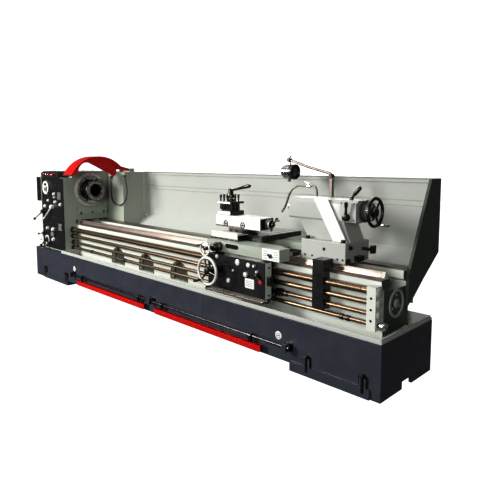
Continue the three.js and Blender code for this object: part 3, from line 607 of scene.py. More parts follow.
def make_rods():
    lead = Shape()
    (y, z), r = LEAD, 22
    start, finish, pitch = -1560, 2080, 12
    lead.bar("x", 18.6, -2296, ROD_END, LEAD, 32, 2)
    lead.bar("x", r, -2290, start, LEAD, 40, 2).bar("x", r, finish, ROD_END - 1, LEAD, 40, 2)
    steps = 14
    half, crest = pitch * 0.34, pitch * 0.2
    rings = []
    for i in range(int((finish - start) / pitch * steps)):
        x = start + i * pitch / steps
        angle = 2 * math.pi * i / steps
        rings.append([(x + dx, y + radius * math.cos(angle), z + radius * math.sin(angle))
                      for dx, radius in ((-half, 18.2), (-crest, r), (crest, r), (half, 18.2))])
    lead.skin(rings)
    piece("lead_screw_thread", lead, "rod", "lead_screw", replaces=["lead_screw"], smooth=40)
    feed = Shape()
    keyway = [(-216, 522), (-224, 522)]
    feed.prism("x", keyway + arc(FEED, 17, 0.585, 2.415, 30), -1640, 2100)
    feed.bar("x", 17, -1700, -1639, FEED, 40, 1).bar("x", 17, 2099, ROD_END, FEED, 40, 1.5)
    piece("splined_feed_rod", feed, "rod", "feed_rod", replaces=["feed_rod"])
    control = Shape().bar("x", 14, -1700, ROD_END, SWITCH, 36, 1.5).bar("x", 21, 1474, 1500, SWITCH, 32, 2)
    piece("switch_rod", control, "rod", "control_rod", replaces=["control_rod"])
    stop = Shape().bar("x", 14, -1700, 2232, STOP, 36, 1.5)
    piece("stop_shaft", stop, "rod", "stop_rod", replaces=["stop_rod"])
    collars = Shape()
    for x in (-1240, -580, 1922, 1966):
        collars.bar("x", 19, x, x + 30, STOP, 32, 2)
        collars.cap_screw("y", -239, (x + 15, STOP[1]), 5, 4, -1)
    piece("stop_collars", collars, "oxide", "stop_rod", 0.6)
    profile = [(12, 2199), (24, 2203), (26, 2209), (26, 2236), (20, 2244), (6, 2245)]
    piece("stop_knob", Shape().turned(profile, "x", STOP, 48), "chrome", "stop_rod")
    bushes = Shape()
    for rod, r in ((LEAD, 30), (FEED, 25), (SWITCH, 22), (STOP, 22)):
        bushes.turned([(r + 4, -1650), (r + 4, -1638), (r, -1632), (r, -1622)], "x", rod, 40)
    piece("rod_bushes", bushes, "oxide", "root")
    caps = Shape()
    for rod, r in ((LEAD, 27), (FEED, 22), (SWITCH, 19)):
        caps.turned([(r, 2185), (r, 2191), (r * 0.7, 2195)], "x", rod, 40)
    piece("rod_end_caps", caps, "casting", "root")
    screws = Shape().cap_screws("y", -252, [(2155, z) for z in (545, 476, 410)], 7.5, 3.5, -1)
    piece("bracket_screws", screws, "oxide", "root")
    screws = Shape().cap_screws("y", -252, [(1770, z) for z in (430, 476, 548, 620)], 6, 4, -1)
    piece("support_screws", screws, "oxide", "rod_support")


# ------------------------------------------------------------------ headstock

def make_spindle():
    profile = [(79, -1649.6), (190, -1649.6), (190, -1642), (186, -1638), (172, -1638), (168, -1634),
               (79, -1634)]
    flange = Shape().turned(profile, "x", SPINDLE, 96, loop=True)
    piece("bearing_cap", flange, "casting", "root", replaces=["spindle_flange"])
    z = SPINDLE[1]
    places = [(179 * a, z + 179 * b) for a, b in turns(6, math.pi / 6)]
    bolts = Shape().cap_screws("x", -1638, places, 6, 4, 1)
    piece("bearing_cap_bolts", bolts, "oxide", "root")
    nose = [(52, -2294), (62, -2294), (62, -2150), (70, -2149), (70, -1706), (75, -1705),
            (75, -1629), (158, -1628), (161, -1625), (161, -1603), (158, -1600), (120, -1600),
            (118, -1598), (118, -1520),
            (115, -1516), (112, -1515), (74, -1515), (71, -1517), (53, -1560), (52, -1600)]
    spindle = Shape().turned(nose, "x", SPINDLE, 96, loop=True)
    piece("spindle_nose", spindle, "nose", "spindle", replaces=["spindle"])
    holes, studs = Shape(), Shape()
    for a, b in turns(6, math.pi / 2):
        holes.turned([(9, -1515.5), (9, -1514.4), (7, -1514)], "x", (94 * a, z + 94 * b), 32)
        studs.rod((-1560, 112 * a, z + 112 * b), (-1560, 120 * a, z + 120 * b), 11, 10, 24)
    for a, b in turns(6, math.pi / 2 + 0.5):
        studs.turned([(12, -1601), (12, -1590), (8, -1586)], "x", (139 * a, z + 139 * b), 28)
    # Painted shade: the black discs on the nose face stand for the shade inside its holes.
    piece("nose_holes", holes, "panel", "spindle")
    piece("nose_studs", studs, "oxide", "spindle")
    # Painted shade: a black tube lining the spindle's bore, where its inside lies in shade.
    bore = Shape().turned([(51.5, -1700), (51.5, -1640)], "x", SPINDLE, 64)
    piece("bore_painted_shade", bore, "panel", "spindle")


def make_headstock_details():
    bolts, right = Shape(), box("headstock")[1]
    for y in (-128, 8, 150):
        bolts.hexagon("x", right - 1, (y, 762), 10, 12, 1)
    piece("foot_bolts", bolts, "oxide", "root", 0.5)
    places = [(x, y) for x in (-2160, -1925, -1690) for y in (-185, 180)]
    piece("lid_screws", Shape().cap_screws("z", 1232, places, 7, 6, 1), "oxide", "root")
    vents = Shape()
    for i in range(9):
        vents.block(-2090, -1890, 214.5, 217.5, 800 + i * 22, 810 + i * 22)
    piece("headstock_vents", vents, "dark_green_and_painted_shade", "root", 0.8)


def make_panel_controls():
    """Dial, setting plates, knobs and levers on the black front panel."""
    face = box("front_panel")[2]
    centre = x, z = -2048, 1043
    dial = Shape().ring("y", 54, 76, face - 24, face - 14, centre, 72)
    for a, b in turns(3, 0.45):
        dial.rod((x + 18 * a, face - 20, z + 18 * b), (x + 60 * a, face - 19, z + 60 * b), 7, 6, 16)
    profile = [(30, face - 0.6), (30, face - 10), (24, face - 14), (22, face - 40), (18, face - 46)]
    dial.turned(profile, "y", centre, 56)
    piece("speed_wheel", dial, "slide", "speed_dial", 1.5, ["speed_dial"])
    scale = Shape().turned([(92, face), (92, face - 3), (90, face - 4)], "y", centre, 72)
    piece("speed_scale", scale, "oxide", "root")
    marks = Shape()
    for i, (a, b) in enumerate(turns(24)):
        far = 88 - 3 * (i % 2)
        marks.rod((x + 80 * a, face - 4, z + 80 * b), (x + far * a, face - 4, z + far * b), 1.3, 1.3, 6)
    piece("speed_marks", marks, "white", "root")
    knobs = Shape()
    for x, z, r, tall in ((-1868, 975, 15, 14), (-1872, 936, 11, 10), (-1838, 886, 15, 18),
                          (-1721, 862, 17, 12), (-2035, 893, 14, 10), (-2124, 823, 17, 14),
                          (-2066, 569, 16, 18), (-1924, 566, 19, 18), (-1924, 451, 19, 18)):
        steps = ((1.25, 0), (1.25, 3), (1, 4), (1, tall), (0.8, tall + 3))
        knobs.turned([(r * wide, face - out) for wide, out in steps], "y", (x, z), 40)
    piece("panel_knobs", knobs, "slide", "root")
    plates = Shape()
    for x0, x1, z0, z1 in ((-1800, -1680, 905, 1010), (-1800, -1690, 560, 660),
                           (-2010, -1850, 475, 540)):
        plates.block(x0, x1, face - 1.5, face, z0, z1)
        for x in (x0 + 6, x1 - 6):
            for z in (z0 + 6, z1 - 6):
                plates.turned([(3, face - 1.4), (2.4, face - 2.6)], "y", (x, z), 12)
    piece("setting_plates", plates, "oxide", "root", 0.4)
    rows = Shape()
    for x0, z0, count, step in ((-1790, 922, 6, 14), (-1790, 574, 6, 13), (-1998, 486, 4, 13)):
        for i in range(count):
            rows.block(x0, x0 + 84, face - 2.2, face - 1.2, z0 + i * step, z0 + i * step + 2.2)
    piece("setting_rows", rows, "white", "root")
    for name, finish, at, tip, hub, knob in (
            ("range", "slide", (-1908, -344, 828), (-2050, -372, 690), 25, 13),
            ("direction", "oxide", (-2159, -344, 760), (-2205, -420, 676), 24, 16),
            ("pitch", "oxide", (-2094, -344, 430), (-2094, -405, 372), 24, 16)):
        lever = add_lever(Shape(), "y", at, tip, hub, 8, knob, -1)
        piece(f"{name}_handle", lever, finish, f"{name}_lever", 1, [f"{name}_lever"])
    quadrant = Shape().ring("y", 40, 56, face - 6, face, (-2094, 430), 56)
    piece("pitch_quadrant", quadrant, "slide", "root", 1)
    stubs = Shape()
    add_lever(stubs, "y", (-2180, -336, 505), (-2222, -372, 492), 14, 6, 13, -1)
    add_lever(stubs, "y", (-2040, -336, 400), (-2078, -372, 360), 14, 6, 13, -1)
    piece("selector_stubs", stubs, "oxide", "root", 0.8)


def make_control_box():
    _, _, y0, _, _, z1 = box("control_box")
    buttons, bezels, stop = Shape(), Shape(), (-1850, 1192)
    for x in (-2120, -2060, -2000, -1930):
        bezels.turned([(15, y0 + 0.5), (15, y0 - 3), (13, y0 - 4)], "y", (x, 1192), 32)
        buttons.turned([(10, y0 - 3), (10, y0 - 8), (8, y0 - 9)], "y", (x, 1192), 32)
    bezels.ring("y", 19, 24, y0 - 3, y0 + 0.5, stop, 48)
    piece("button_bezels", bezels, "chrome", "root")
    piece("push_buttons", buttons, "red_plastic", "root")
    profile = [(10, -322), (10, -337), (18, -338), (20, -342), (20, -348), (16, -352), (6, -353)]
    button = Shape().turned(profile, "y", stop, 56)
    piece("stop_mushroom", button, "red_plastic", "stop_button", replaces=["stop_button"])
    top = Shape().cap_screws("z", z1, [(x, -230) for x in (-2150, -1965, -1780)], 5, 4, 1)
    piece("hood_screws", top, "oxide", "root")


def make_chuck_guard():
    centre, hinge = (5, 1025), (400, 1244)
    start, end = 0.25, 0.85           # half turns
    tail = [(392, 1232), (400, 1254)]
    cover = arc(centre, 374, start, end, 56) + arc(centre, 367, end, start, 56) + tail
    piece("guard_arch", Shape().prism("x", cover, -1620, -1420), "red", "chuck_guard", 2, ["chuck_guard"])
    lower = [(-254, 1200), (-249, 1230), (-242, 1259), (-228, 1286), (-208, 1306), (-193, 1318),
             (-176, 1326), (-153, 1330), (-130, 1328), (150, 1188), (167, 1179), (188, 1181),
             (202, 1194), (207, 1220), (209, 1250), (272, 1252)]
    side = Shape().prism("x", arc(centre, 372, start, end, 56) + lower + tail, -1427, -1420.5)
    piece("guard_side", side, "red", "chuck_guard", 1.5)
    lip = Shape()
    for y, z in arc(centre, 371, end, end + 0.012 / math.pi, 1):
        lip.rod((-1617, y, z), (-1423, y, z), 6, 6, 16)
    piece("guard_front_lip", lip, "rubber", "chuck_guard")
    barrel = Shape().bar("x", 14, -1624, -1416, hinge, 40, 2).bar("x", 8, -1640, -1400, hinge, 24, 1)
    for at in arc(centre, 330, 0.285, 0.335, 1):
        barrel.hexagon("x", -1420.5, at, 9, 8, 1)
    piece("guard_pivot", barrel, "oxide", "chuck_guard", 0.8)


CABLE_ROUTE = [
    (-1540, 208, 1171), (-1540, 208, 1130), (-1542, 208, 1060), (-1544, 208, 985), (-1532, 208, 915),
    (-1496, 208, 873), (-1440, 208, 852), (-1376, 208, 846), (-1314, 208, 861), (-1258, 208, 893),
    (-1220, 208, 935), (-1204, 208, 990), (-1205, 208, 1050), (-1218, 208, 1110), (-1236, 208, 1155),
    (-1240, 208, 1188.6)]
CABLE_DIAMETER = 12


def make_cable():
    """The guard switch's cable: a loop that hangs from one gland to the other."""
    route = smooth_path(CABLE_ROUTE)
    cable = piece("switch_cable", Shape().tube(route, CABLE_DIAMETER / 2, 20), "rubber", "root",
                  replaces=["guard_cable"], smooth=60)
    glands = Shape()
    for x, top in ((-1540, 1172), (-1240, 1190)):
        profile = [(15, top), (15, top - 8), (12, top - 12), (9, top - 18), (7.6, top - 24),
                   (6.2, top - 24), (6.2, top)]
        glands.turned(profile, "z", (x, 208), 32, loop=True)
    piece("cable_glands", glands, "oxide", "root")


def make_cabinet_details():
    x0, x1, _, y, z0, z1 = box("cabinet_door")
    hinges, locks, lines = Shape(), Shape(), Shape()
    for z in (z0 + 90, (z0 + z1) / 2, z1 - 90):
        hinges.bar("z", 8, z - 34, z + 34, (x0, y + 0.5), 24, 1.5)
    piece("door_hinges", hinges, "oxide", "cabinet_door")
    for z in (z0 + 140, z1 - 140):
        locks.turned([(16, y), (16, y + 5), (12, y + 7)], "y", (x1 - 36, z), 32)
        locks.block(x1 - 39, x1 - 33, y + 6, y + 12, z - 12, z + 12)
    piece("door_locks", locks, "chrome", "cabinet_door", 0.6)
    for x in (x0 + 26, x1 - 30):
        lines.block(x, x + 4, y - 1, y + 3, z0 + 26, z1 - 26)
    for z in (z0 + 26, z1 - 30):
        lines.block(x0 + 26, x1 - 26, y - 1, y + 3, z, z + 4)
    for i in range(12):
        z = z0 + 60 + i * 18
        lines.block(x0 + 240, x1 - 240, y - 1, y + 3.5, z, z + 8)
    piece("door_pressing", lines, "green", "cabinet_door", 1)
    trim, right = Shape(), box("cabinet")[1]
    for z in (1035, 1072):
        trim.block(right - 1, right + 1.5, 240, 500, z, z + 5)
    piece("cabinet_trim", trim, "green", "root", 0.8)
    x0, x1, y, _, z0, z1 = box("end_cover")
    fittings = Shape()
    for z in (z0 + 70, z1 - 70):
        fittings.bar("z", 6, z - 30, z + 30, (-2205, 222), 20, 1)
        fittings.turned([(10, y), (10, y - 3), (7, y - 4)], "y", (-2262, z), 28)
    piece("cover_fittings", fittings, "oxide", "end_cover")
    split = Shape().block(x0 + 0.5, x1 - 2, y - 2, y + 1, 880, z1 - 4)
    piece("cover_upper_panel", split, "oxide", "end_cover", 1)


def make_motor_details():
    """Cooling fins round the motor, except on its top."""
    fins = Shape()
    for a, b in turns(20, 0.15):
        if b > 0.55:
            continue
        outline = [(MOTOR[0] + far * a - side * b, MOTOR[1] + far * b + side * a)
                   for far, side in ((112, 2.5), (112, -2.5), (126, -2.5), (126, 2.5))]
        fins.prism("x", outline, -2160, -1800)
    piece("motor_fins", fins, "navy", "root", 0.6)


# ------------------------------------------------------------------ splash guard

def make_guard_details():
    x0, x1, _, y1, _, z1 = box("splash_guard")
    inside = y1 - 5
    # Green rods and a green strip, darker than the wall: the pressed lines, with painted shade along them.
    lines = Shape()
    for z in (1030, 1068):
        lines.turned([(4.5, x0 + 6), (4.5, x1 - 22)], "x", (inside - 0.4, z), 12)
    lines.block(x0 + 2, x1 - 4, inside - 12, inside - 0.2, z1 - 34, z1 - 30)
    piece("guard_ribs", lines, "green", "root", 0.8)
    corner = Shape().block(x0 + 0.2, x0 + 4, 480, inside + 0.5, 724, z1 - 1)
    piece("guard_corner", corner, "wall", "root", 0.8)
    outline = [(400, 1224), (403, 1224), (123, 634), (119, 434), (117, 434), (120, 634)]
    piece("end_flange", Shape().prism("x", outline, 2182, 2202), "wall", "root", 0.5)
    stays = Shape()
    outline = [(536, 722), (250, 505), (250, 470), (262, 470), (262, 498), (539, 706)]
    for x in (-900, 0, 900, 1800):
        stays.prism("x", outline, x, x + 5)
    piece("guard_stays", stays, "dark_green_and_painted_shade", "root", 0.6)


# ------------------------------------------------------------------ carriage

def make_handwheel(body, axis, at, radius, rim, hub, angle, grip, way, rim_finish, grip_finish):
    """A rim, three tapered spokes round a stepped hub, and a turned grip."""
    along, across = split(axis, at)

    def point(r, direction, off):
        return point_on(axis, along + off, across[0] + r * direction[0], across[1] + r * direction[1])
    bright = Shape().torus(axis, along, across, radius, rim)
    piece(body + "_rim", bright, rim_finish, body, 0.6, [body])
    inner, steps = rim * 0.9, ((0.5, -1.6), (1, -1.2), (1, 1.2), (0.5, 1.6))
    core = Shape().torus(axis, along, across, radius, inner)
    core.turned([(hub * wide, along + inner * far) for wide, far in steps], axis, across, 40)
    directions = turns(3, angle)
    for direction in directions:
        core.rod(point(hub * 0.6, direction, 0), point(radius, direction, 0), inner * 0.8, inner * 0.65)
    piece(body + "_spokes", core, "oxide", body, 0.6)
    base = Vector(point(radius, directions[0], way * rim * 0.6))
    tip = Vector(point(radius, directions[0], way * grip))
    stations = ((0, 0.5), (0.06, 0.5), (0.1, 0.75), (0.3, 0.95), (0.7, 1.05), (0.92, 0.9), (1, 0.4))
    handle = Shape().tube([base.lerp(tip, t) for t, _ in stations], [rim * r for _, r in stations], 24)
    piece(body + "_grip", handle, grip_finish, body)


def make_apron_details():
    x0, x1 = box("apron")[:2]
    front, hub = -345, (926, 547)
    make_handwheel("apron_wheel", "y", (926, -450, 547), 98, 10, 24, -2.3, 76, -1, "slide", "oxide")
    shaft = Shape().bar("y", 12, -452, -306, hub, 32, 1)
    shaft.turned([(46, -388), (46, -402), (40, -408), (26, -412)], "y", hub, 56)
    piece("apron_dial", shaft, "oxide", "apron_wheel")
    marks = Shape().ticks("y", hub, 46, -389, -400, 60)
    piece("apron_dial_marks", marks, "white", "apron_wheel")
    discs = Shape()
    for x, z, r, tall in ((1137, 625, 21, 6), (1243, 622, 17, 6), (1224, 553, 17, 16), (1041, 480, 17, 6),
                          (1303, 624, 10, 14), (1332, 588, 9, 16), (917, 640, 15, 5), (1090, 560, 9, 5)):
        discs.turned([(r, front), (r, front - tall), (r * 0.8, front - tall - 2.5)], "y", (x, z), 40)
    piece("apron_discs", discs, "slide", "carriage")
    plate = Shape().block(1211, 1299, front - 2, front, 458, 526)
    plate.block(1214, 1296, front - 3, front - 1, 461, 523)
    piece("apron_plate", plate, "white", "carriage", 0.6)
    lines = Shape()
    for i in range(4):
        lines.block(1222, 1288, front - 3.6, front - 2.8, 472 + i * 12, 474.5 + i * 12)
    piece("apron_plate_lines", lines, "oxide", "carriage")
    lip = Shape().block(x0 + 0.5, x1 - 0.5, -374, -345, 376, 391.5)
    lip.block(x0, x0 + 4, -374, -345, 376, 402)
    piece("apron_lip", lip, "way", "carriage", 1.5)
    piece("apron_side", Shape().block(1400, 1404, -340, -284, 404, 654), "casting", "carriage", 1)
    screws = Shape().cap_screws("y", front, [(x, 420) for x in (840, 1010, 1180, 1375)], 6, 4, -1)
    screws.cap_screws("x", 1404, [(-312, 430), (-312, 620)], 7, 5, 1)
    piece("apron_screws", screws, "oxide", "carriage")
    bracket = Shape().block(1404, 1430, -330, -290, 500, 560)
    bracket.cap_screws("x", 1430, [(-310, 512), (-310, 546)], 6, 5, 1)
    piece("switch_bracket", bracket, "oxide", "carriage", 1.5)
    feed = add_lever(Shape(), "y", (1337, -362, 558), (1395, -386, 534), 18, 6, 9, -1)
    piece("feed_arm", feed, "oxide", "feed_lever", 0.6, ["feed_lever"])
    knob = Shape().tube([(1380, -380, 541), (1386, -382, 538), (1392, -385, 536), (1402, -389, 531),
                         (1412, -393, 527), (1418, -395, 524)], [6, 9, 11, 14, 12, 5], 24)
    piece("feed_knob", knob, "red_plastic", "feed_lever")
    start = Shape().ring("x", 14.6, 28, 1404, 1444, SWITCH, 40)
    start.tube(smooth_path([(1424, -240, 430), (1424, -285, 415), (1424, -345, 398)], 5), 7, 16)
    start.ball((1424, -345, 398), 16)
    piece("start_handle", start, "oxide", "start_lever", 0.6, ["start_lever"])


def make_saddle_details():
    x0, _, _, _, z0, _ = box("saddle")
    hub = (850, 697)
    make_handwheel("cross_wheel", "y", (850, -405, 697), 50, 6, 14, 2.6, 48, -1, "slide", "oxide")
    profile = [(8, -262.6), (36, -263), (36, -292), (30, -296), (30, -330), (24, -336), (14, -338),
               (14, -404)]
    piece("cross_dial", Shape().turned(profile, "y", hub, 64), "oxide", "cross_wheel")
    marks = Shape().ticks("y", hub, 36, -290, -278, 50)
    piece("cross_dial_marks", marks, "white", "cross_wheel")
    # Painted shade: a black slot outline on the saddle's front stands for the shade inside a recess.
    outline = [(x + 22 * a, 708 + 17 * b) for x, start in ((930, 0.5), (1030, 1.5))
               for a, b in arc((0, 0), 1, start, start + 1, 16)]
    piece("saddle_recess", Shape().prism("y", outline, -256.2, -254), "panel", "carriage", 0.5)
    plate = Shape().block(1328, 1484, -297, -294.5, 668, 747)
    piece("thread_chart", plate, "white", "carriage", 0.6)
    pointer = Shape().turned([(15, -297), (15, -304), (12, -306)], "y", (1406, 700), 40)
    pointer.prism("y", [(1392, 716), (1422, 700), (1418, 690), (1386, 704)], -312, -304)
    piece("chart_pointer", pointer, "oxide", "carriage", 0.8)
    lines = Shape()
    for i in range(4):
        for start, end in ((1340, 1378), (1434, 1474)):
            lines.block(start, end, -297.8, -296.8, 680 + i * 16, 682.5 + i * 16)
    piece("chart_lines", lines, "dark_green_and_painted_shade", "carriage")
    top = Shape()
    for x, y in ((1040, -225), (1180, -225), (1310, -225), (1420, -120), (1180, 150), (1330, 150),
                 (1450, 150)):
        top.cap_screw("z", z0 + 51 if x != 1420 else 737, (x, y), 8, 5, 1)
    piece("saddle_screws", top, "oxide", "carriage")
    wipers = Shape()
    for x in (x0 - 6, 1490):
        wipers.prism("x", [(-165, 690), (-92, 690), (-92, 720), (-165, 720)], x, x + 6)
        wipers.prism("x", [(100, 690), (190, 690), (190, 716), (100, 716)], x, x + 6)
    piece("way_wipers", wipers, "rubber", "carriage", 1)


def make_slides():
    x0, _, _, _, z0, _ = box("cross_slide")
    # A black gib strip along the front and a black cover on the face at y -103; the thin black plates on the
    # two right-hand faces are painted shade, and the plate on top is the swivel's painted shadow.
    gib = Shape().block(x0 + 2, 978, -196.5, -194, z0, z0 + 12)
    gib.block(979.5, 981.5, -194, -102, z0 + 1, 782)
    gib.block(981, 1130, -105, -101, z0 + 1, 782)
    gib.block(990, 1129, -104, 0, 782, 784.5)
    gib.block(1130, 1131.5, -93, 378, z0 + 1, 781)
    piece("cross_gib_and_painted_shade", gib, "panel", "cross_slide", 0.4)
    # Painted shade: black strips on the top stand for the shade inside the tee slots.
    slots = Shape()
    for y in (150, 230, 310):
        slots.block(x0 + 4, 1126, y - 9, y + 9, 782.5, 783.6)
    piece("tee_slots", slots, "panel", "cross_slide")
    places = [(x, z0 + 6) for x in (710, 770, 830, 890, 950)]
    piece("gib_screws", Shape().cap_screws("y", -196.5, places, 3.2, 1.6, -1), "steel", "cross_slide")
    x0, x1, y0, y1, _, _ = box("swivel_base")
    centre = ((x0 + x1) / 2, (y0 + y1) / 2)
    swivel = Shape().turned([(116, 783.4), (118, 785), (118, 818), (114, 822)], "z", centre, 96)
    piece("swivel_disc", swivel, "oxide", "swivel_base", replaces=["swivel_base"])
    degrees = Shape().ticks("z", centre, 118, 817, 806, 72, 1.0)
    piece("swivel_degrees", degrees, "white", "swivel_base")
    x0, _, y0 = box("top_slide")[:3]
    band = Shape().block(x0 + 1, x0 + 300, y0 - 1.4, y0 + 3, 823, 835)
    piece("slide_gib", band, "brown", "top_slide", 0.6)
    nuts = Shape()
    for x in (745, 935):
        nuts.ring("y", 17, 25, y0 - 3, y0 + 1, (x, 849), 48)
        nuts.turned([(9, y0 + 1), (9, y0 - 4), (7, y0 - 5)], "y", (x, 849), 32)
    piece("clamp_nuts", nuts, "oxide", "top_slide", 0.6)
    screw = y, z = -20, 868
    bearing = Shape().turned([(38, 1117), (38, 1140), (36, 1144), (36, 1160), (32, 1166)], "x", screw, 64)
    bearing.block(1112, 1122, -88, 48, 826, 908)
    piece("compound_dial", bearing, "oxide", "top_slide", 0.8)
    piece("compound_marks", Shape().ticks("x", screw, 38, 1141, 1130, 50), "white", "top_slide")
    x, (a, b) = 1181, turns(1, 0.9)[0]

    def crank(off, reach):
        return x + off, y + reach * a, z + reach * b
    handle = Shape().bar("x", 8.5, 1084, x, screw, 24).ball((x, y, z), 18)
    handle.rod((x, y, z), crank(8, 52), 7, 5).ball(crank(8, 52), 12)
    handle.rod((x, y, z), crank(8, -44), 6, 4.5).ball(crank(8, -44), 10)
    handle.tube([crank(6, 40), crank(14, 40), crank(40, 40)], [5, 7, 6], 20)
    piece("ball_crank", handle, "oxide", "compound_handle", replaces=["compound_handle"])


def make_toolpost():
    cx, cy = TURRET
    half = 76
    post, faces = Shape(), Shape()
    for h, z0, z1 in ((half, 914.4, 948), (half - 24, 948, 1004), (half, 1004, 1022)):
        post.block(cx - h, cx + h, cy - h, cy + h, z0, z1)
    post.turned([(30, 1022), (30, 1034), (24, 1040)], "z", TURRET, 48)
    piece("square_turret", post, "oxide", "toolpost", 1.8, ["toolpost"])
    # Painted highlight: light satin bands on the turret's front face only, the side that faces the lights.
    for z0, z1 in ((1005.5, 1020.5), (917, 946)):
        faces.block(cx - half + 2, cx + half - 2, cy - half - 0.8, cy - half + 1, z0, z1)
    piece("turret_front_painted_highlight", faces, "slide", "toolpost", 0.4)
    screws = Shape()
    for dx, dy in ((-1, 0), (1, 0), (0, -1), (0, 1)):
        for along in (-50, -12, 26):
            at = (cx + dx * (half - 13) + abs(dy) * along, cy + dy * (half - 13) + abs(dx) * along)
            screws.bar("z", 6.2, 958, 1050, at, 20, 1)
            screws.turned([(9, 1050), (9, 1074), (7, 1076)], "z", at, 4, phase=math.pi / 4)
    piece("tool_screws", screws, "oxide", "toolpost", 0.5)
    profile = [(30, 1047), (32, 1049), (32, 1062), (24, 1082), (20, 1112), (16, 1120), (8, 1124)]
    handle = Shape().turned(profile, "z", TURRET, 56)
    start = Vector((cx, cy, 1106))
    tip = Vector((cx + 236, cy - 16, 1154))
    stations = ((0.06, 9), (0.3, 9), (0.45, 9), (0.5, 11), (0.7, 14), (0.96, 16), (1.0, 10))
    handle.tube([start.lerp(tip, t) for t, _ in stations], [r for _, r in stations], 28)
    piece("turret_handle", handle, "oxide", "toolpost_lever", replaces=["toolpost_lever"])


def make_lamp_and_coolant():
    x, y, z = 1105, 258, 1259
    post_x, post_top = 1506, 1212
    lamp = Shape()
    profile = [(14, x - 62), (38, x - 58), (50, x - 50), (54, x - 44), (54, x + 26)]
    lamp.turned(profile, "x", (y, z), 72)
    for k in range(5):
        lamp.ring("x", 52, 56, x - 36 + k * 12, x - 31 + k * 12, (y, z))
    lamp.bar("z", 9, z + 50, 1334, (x, y), 24)
    piece("lamp_housing", lamp, "chrome", "lamp_head", 0.8, ["lamp_head"])
    profile = [(53, x + 22), (60, x + 28), (61, x + 56), (59, x + 62), (52, x + 66), (48, x + 54),
               (46, x + 50), (30, x + 46), (30, x + 40)]
    bezel = Shape().turned(profile, "x", (y, z), 72)
    bezel.turned([(10, z - 52), (10, z - 66), (15, z - 69), (15, z - 75), (10, z - 78)], "z", (x, y), 28)
    piece("lamp_bezel", bezel, "oxide", "lamp_head")
    lens = Shape().turned([(46, x + 50.5), (40, x + 55), (28, x + 60), (12, x + 62.5)], "x", (y, z), 64)
    piece("lamp_lens", lens, "lens", "lamp_head")
    arm = Shape()
    bend = [(post_x, y, post_top + 2), (post_x, y, post_top + 22), (post_x - 8, y, post_top + 34),
            (post_x - 30, y, post_top + 44), (1300, y, 1296), (1170, y, 1334), (x, y, 1350)]
    arm.tube(smooth_path(bend, 6), 10, 24)
    arm.ball((x, y, 1350), 17)
    piece("lamp_tube", arm, "brown", "lamp_arm", replaces=["lamp_arm"])
    knuckle = Shape().bar("y", 14, y - 22, y + 22, (x, 1352), 32, 2)
    knuckle.rod((x + 8, y - 12, 1366), (x + 26, y - 12, 1386), 5, 4)
    knuckle.bar("y", 17, y - 19, y + 19, (post_x - 2, post_top + 20), 32, 2)
    piece("lamp_knuckles", knuckle, "oxide", "lamp_arm", 0.6)
    foot = Shape().block(post_x - 28, post_x + 14, y - 26, y + 26, 737.2, 748)
    foot.cap_screws("z", 748, [(post_x - 21, y + dy) for dy in (-19, 19)], 5, 5, 1)
    piece("lamp_foot", foot, "oxide", "carriage", 1.5)
    pipe_x = 1376
    pipe = Shape()
    route = [(pipe_x, y, 738), (pipe_x, y, 900), (pipe_x, y, 1080), (1368, y, 1136), (1335, y, 1153),
             (1262, y, 1152), (1200, y, 1152), (1152, 254, 1132), (1118, 250, 1092), (1093, 248, 1032),
             (1072, 247, 985), (1044, 245, 940)]
    pipe.tube(smooth_path(route), 8, 20)
    for k in range(9):
        pipe.ring("z", 7.5, 9.6, 762 + k * 34, 768 + k * 34, (pipe_x, y), 24)
    piece("coolant_tube", pipe, "brown", "carriage", replaces=["coolant_pipe"])
    tap = Shape().bar("x", 13, 1283, 1317, (y, 1152), 28, 2).bar("z", 8, 1160, 1176, (1300, y), 24, 1)
    tap.rod((1305, y, 1172), (1261, y, 1184), 4.5, 3.5).bar("z", 15, 738, 758, (pipe_x, y), 6, 2)
    tap.rod((1056, 245.8, 962), (1042, 245, 938), 10, 8.5)
    piece("coolant_tap", tap, "chrome", "carriage")


# ------------------------------------------------------------------ tailstock

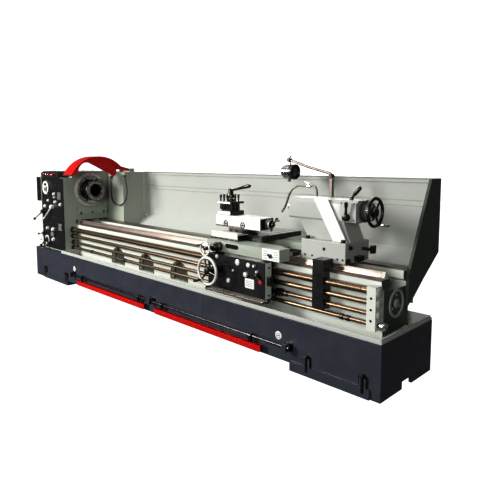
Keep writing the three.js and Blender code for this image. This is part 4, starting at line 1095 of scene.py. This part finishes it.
def make_tailstock_details():
    right = box("tailstock_body")[1]
    profile = [(24, 1340.5), (38, 1340), (40, 1342), (40, 1700), (15.5, 1700), (15.5, 1552), (16, 1500),
               (18, 1450)]
    quill = Shape().turned(profile, "x", SPINDLE, 64, loop=True)
    piece("ground_quill", quill, "chrome", "quill", replaces=["quill"])
    profile = [(41, 1386), (66, 1386), (66, 1396), (41, 1396)]
    cap = Shape().turned(profile, "x", SPINDLE, 64, loop=True)
    piece("quill_wiper", cap, "oxide", "tailstock")
    # Painted highlight: an upright rib on the tailstock's front in light satin steel, not the body's paint,
    # for a band made bright by the light.
    slanted = Shape().prism("y", [(1627, 1089), (1738, 1089), (1888, 824), (1782, 824)], -110.5, -108)
    piece("slanted_rib_painted_highlight", slanted, "slide", "tailstock", 1)
    outline = [(1822, 1087), (1944, 1087), (1944, 956), (1862, 956), (1822, 1000)]
    plate = Shape().prism("y", outline, -99, -95)
    piece("lock_plate", plate, "wall", "tailstock", 1)
    places = [(1836, 1074), (1930, 1074), (1930, 968), (1872, 968)]
    screws = Shape().cap_screws("y", -99, places, 5, 3.5, -1)
    screws.cap_screws("y", -140, [(x, 716) for x in (1580, 1640, 1840, 1880)], 7, 4, -1)
    piece("tailstock_screws", screws, "oxide", "tailstock")
    # Painted shade: a black disc stands for the shade inside the clamp's hole.
    hole = Shape().turned([(11, -140.5), (11, -141.2), (9, -141.4)], "y", (1735, 770), 32)
    piece("clamp_hole", hole, "panel", "tailstock")
    lock = Shape().turned([(14, 1092.4), (14, 1108), (10, 1114)], "z", (1865, -30), 40)
    stations = ((1865, 1102, 7), (1880, 1120, 7), (1886, 1126, 11), (1893, 1134, 13.5), (1926, 1171, 14),
                (1931, 1177, 9))
    lock.tube([(x, -30, z) for x, z, _ in stations], [r for _, _, r in stations], 28)
    piece("quill_lock_handle", lock, "oxide", "quill_lock", replaces=["quill_lock"])
    clamp = add_lever(Shape(), "y", (1880, -115, 985), (1892, -132, 1070), 24, 9, 8, -1)
    clamp.tube([(1888, -126, 1045), (1890, -129, 1056), (1893, -133, 1080), (1894, -134, 1087)],
               [7, 11, 12, 6], 24)
    piece("clamp_handle", clamp, "oxide", "tailstock_clamp", replaces=["tailstock_clamp"])
    make_handwheel("tailstock_wheel", "x", (2022, 0, 1020), 88, 11, 30, -1.15, 82, 1, "oxide", "chrome")
    screw = Shape().bar("x", 14.6, 1562, 2022, SPINDLE, 32, 1)
    screw.turned([(54, 1985), (56, 1987), (56, 2003), (48, 2008), (34, 2010)], "x", SPINDLE, 72)
    piece("tail_dial", screw, "chrome", "tailstock_wheel")
    marks = Shape().ticks("x", SPINDLE, 56, 2001, 1990, 60)
    piece("tail_dial_marks", marks, "oxide", "tailstock_wheel")
    steps = ((70, -40), (70, -30), (59, -28), (59, -2), (55, 0), (16, 0), (16, -40))
    rear = Shape().turned([(r, right + off) for r, off in steps], "x", SPINDLE, 64, loop=True)
    rear.cap_screws("x", right - 30, [(64 * a, SPINDLE[1] + 64 * b) for a, b in turns(6)], 4, 4, 1)
    piece("rear_cap", rear, "dark_green_and_painted_shade", "tailstock")
    left, right = box("tailstock_base")[:2]
    back = Shape().bar("x", 11, right, right + 70, (60, 770), 28, 1)
    back.block(right + 66, right + 88, 40, 82, 746, 796)
    back.block(right, right + 40, -40, 20, 700, 732)
    back.hexagon("x", right, (-90, 790), 12, 14, 1)
    piece("cross_adjuster", back, "oxide", "tailstock", 2)
    nuts, wipers = Shape(), Shape()
    for x in (1864, 1580):
        nuts.hexagon("z", 822.4, (x, -112), 17, 20, 1)
    piece("bed_clamp_nuts", nuts, "oxide", "tailstock", 0.8)
    for x in (left - 6, right):
        wipers.prism("x", [(-140, 690), (-92, 690), (-92, 722), (-140, 722)], x, x + 6)
    piece("tailstock_wipers", wipers, "rubber", "tailstock", 1)


# ------------------------------------------------------------------ assembly

make_camera()
FINISHES = make_finishes()
make_cable()
make_studio()
make_floor()
make_castings()
make_base_details()
make_brake_pedal()
make_bed_details()
make_rods()
make_spindle()
make_headstock_details()
make_panel_controls()
make_control_box()
make_chuck_guard()
make_cabinet_details()
make_motor_details()
make_guard_details()
make_apron_details()
make_saddle_details()
make_slides()
make_toolpost()
make_lamp_and_coolant()
make_tailstock_details()
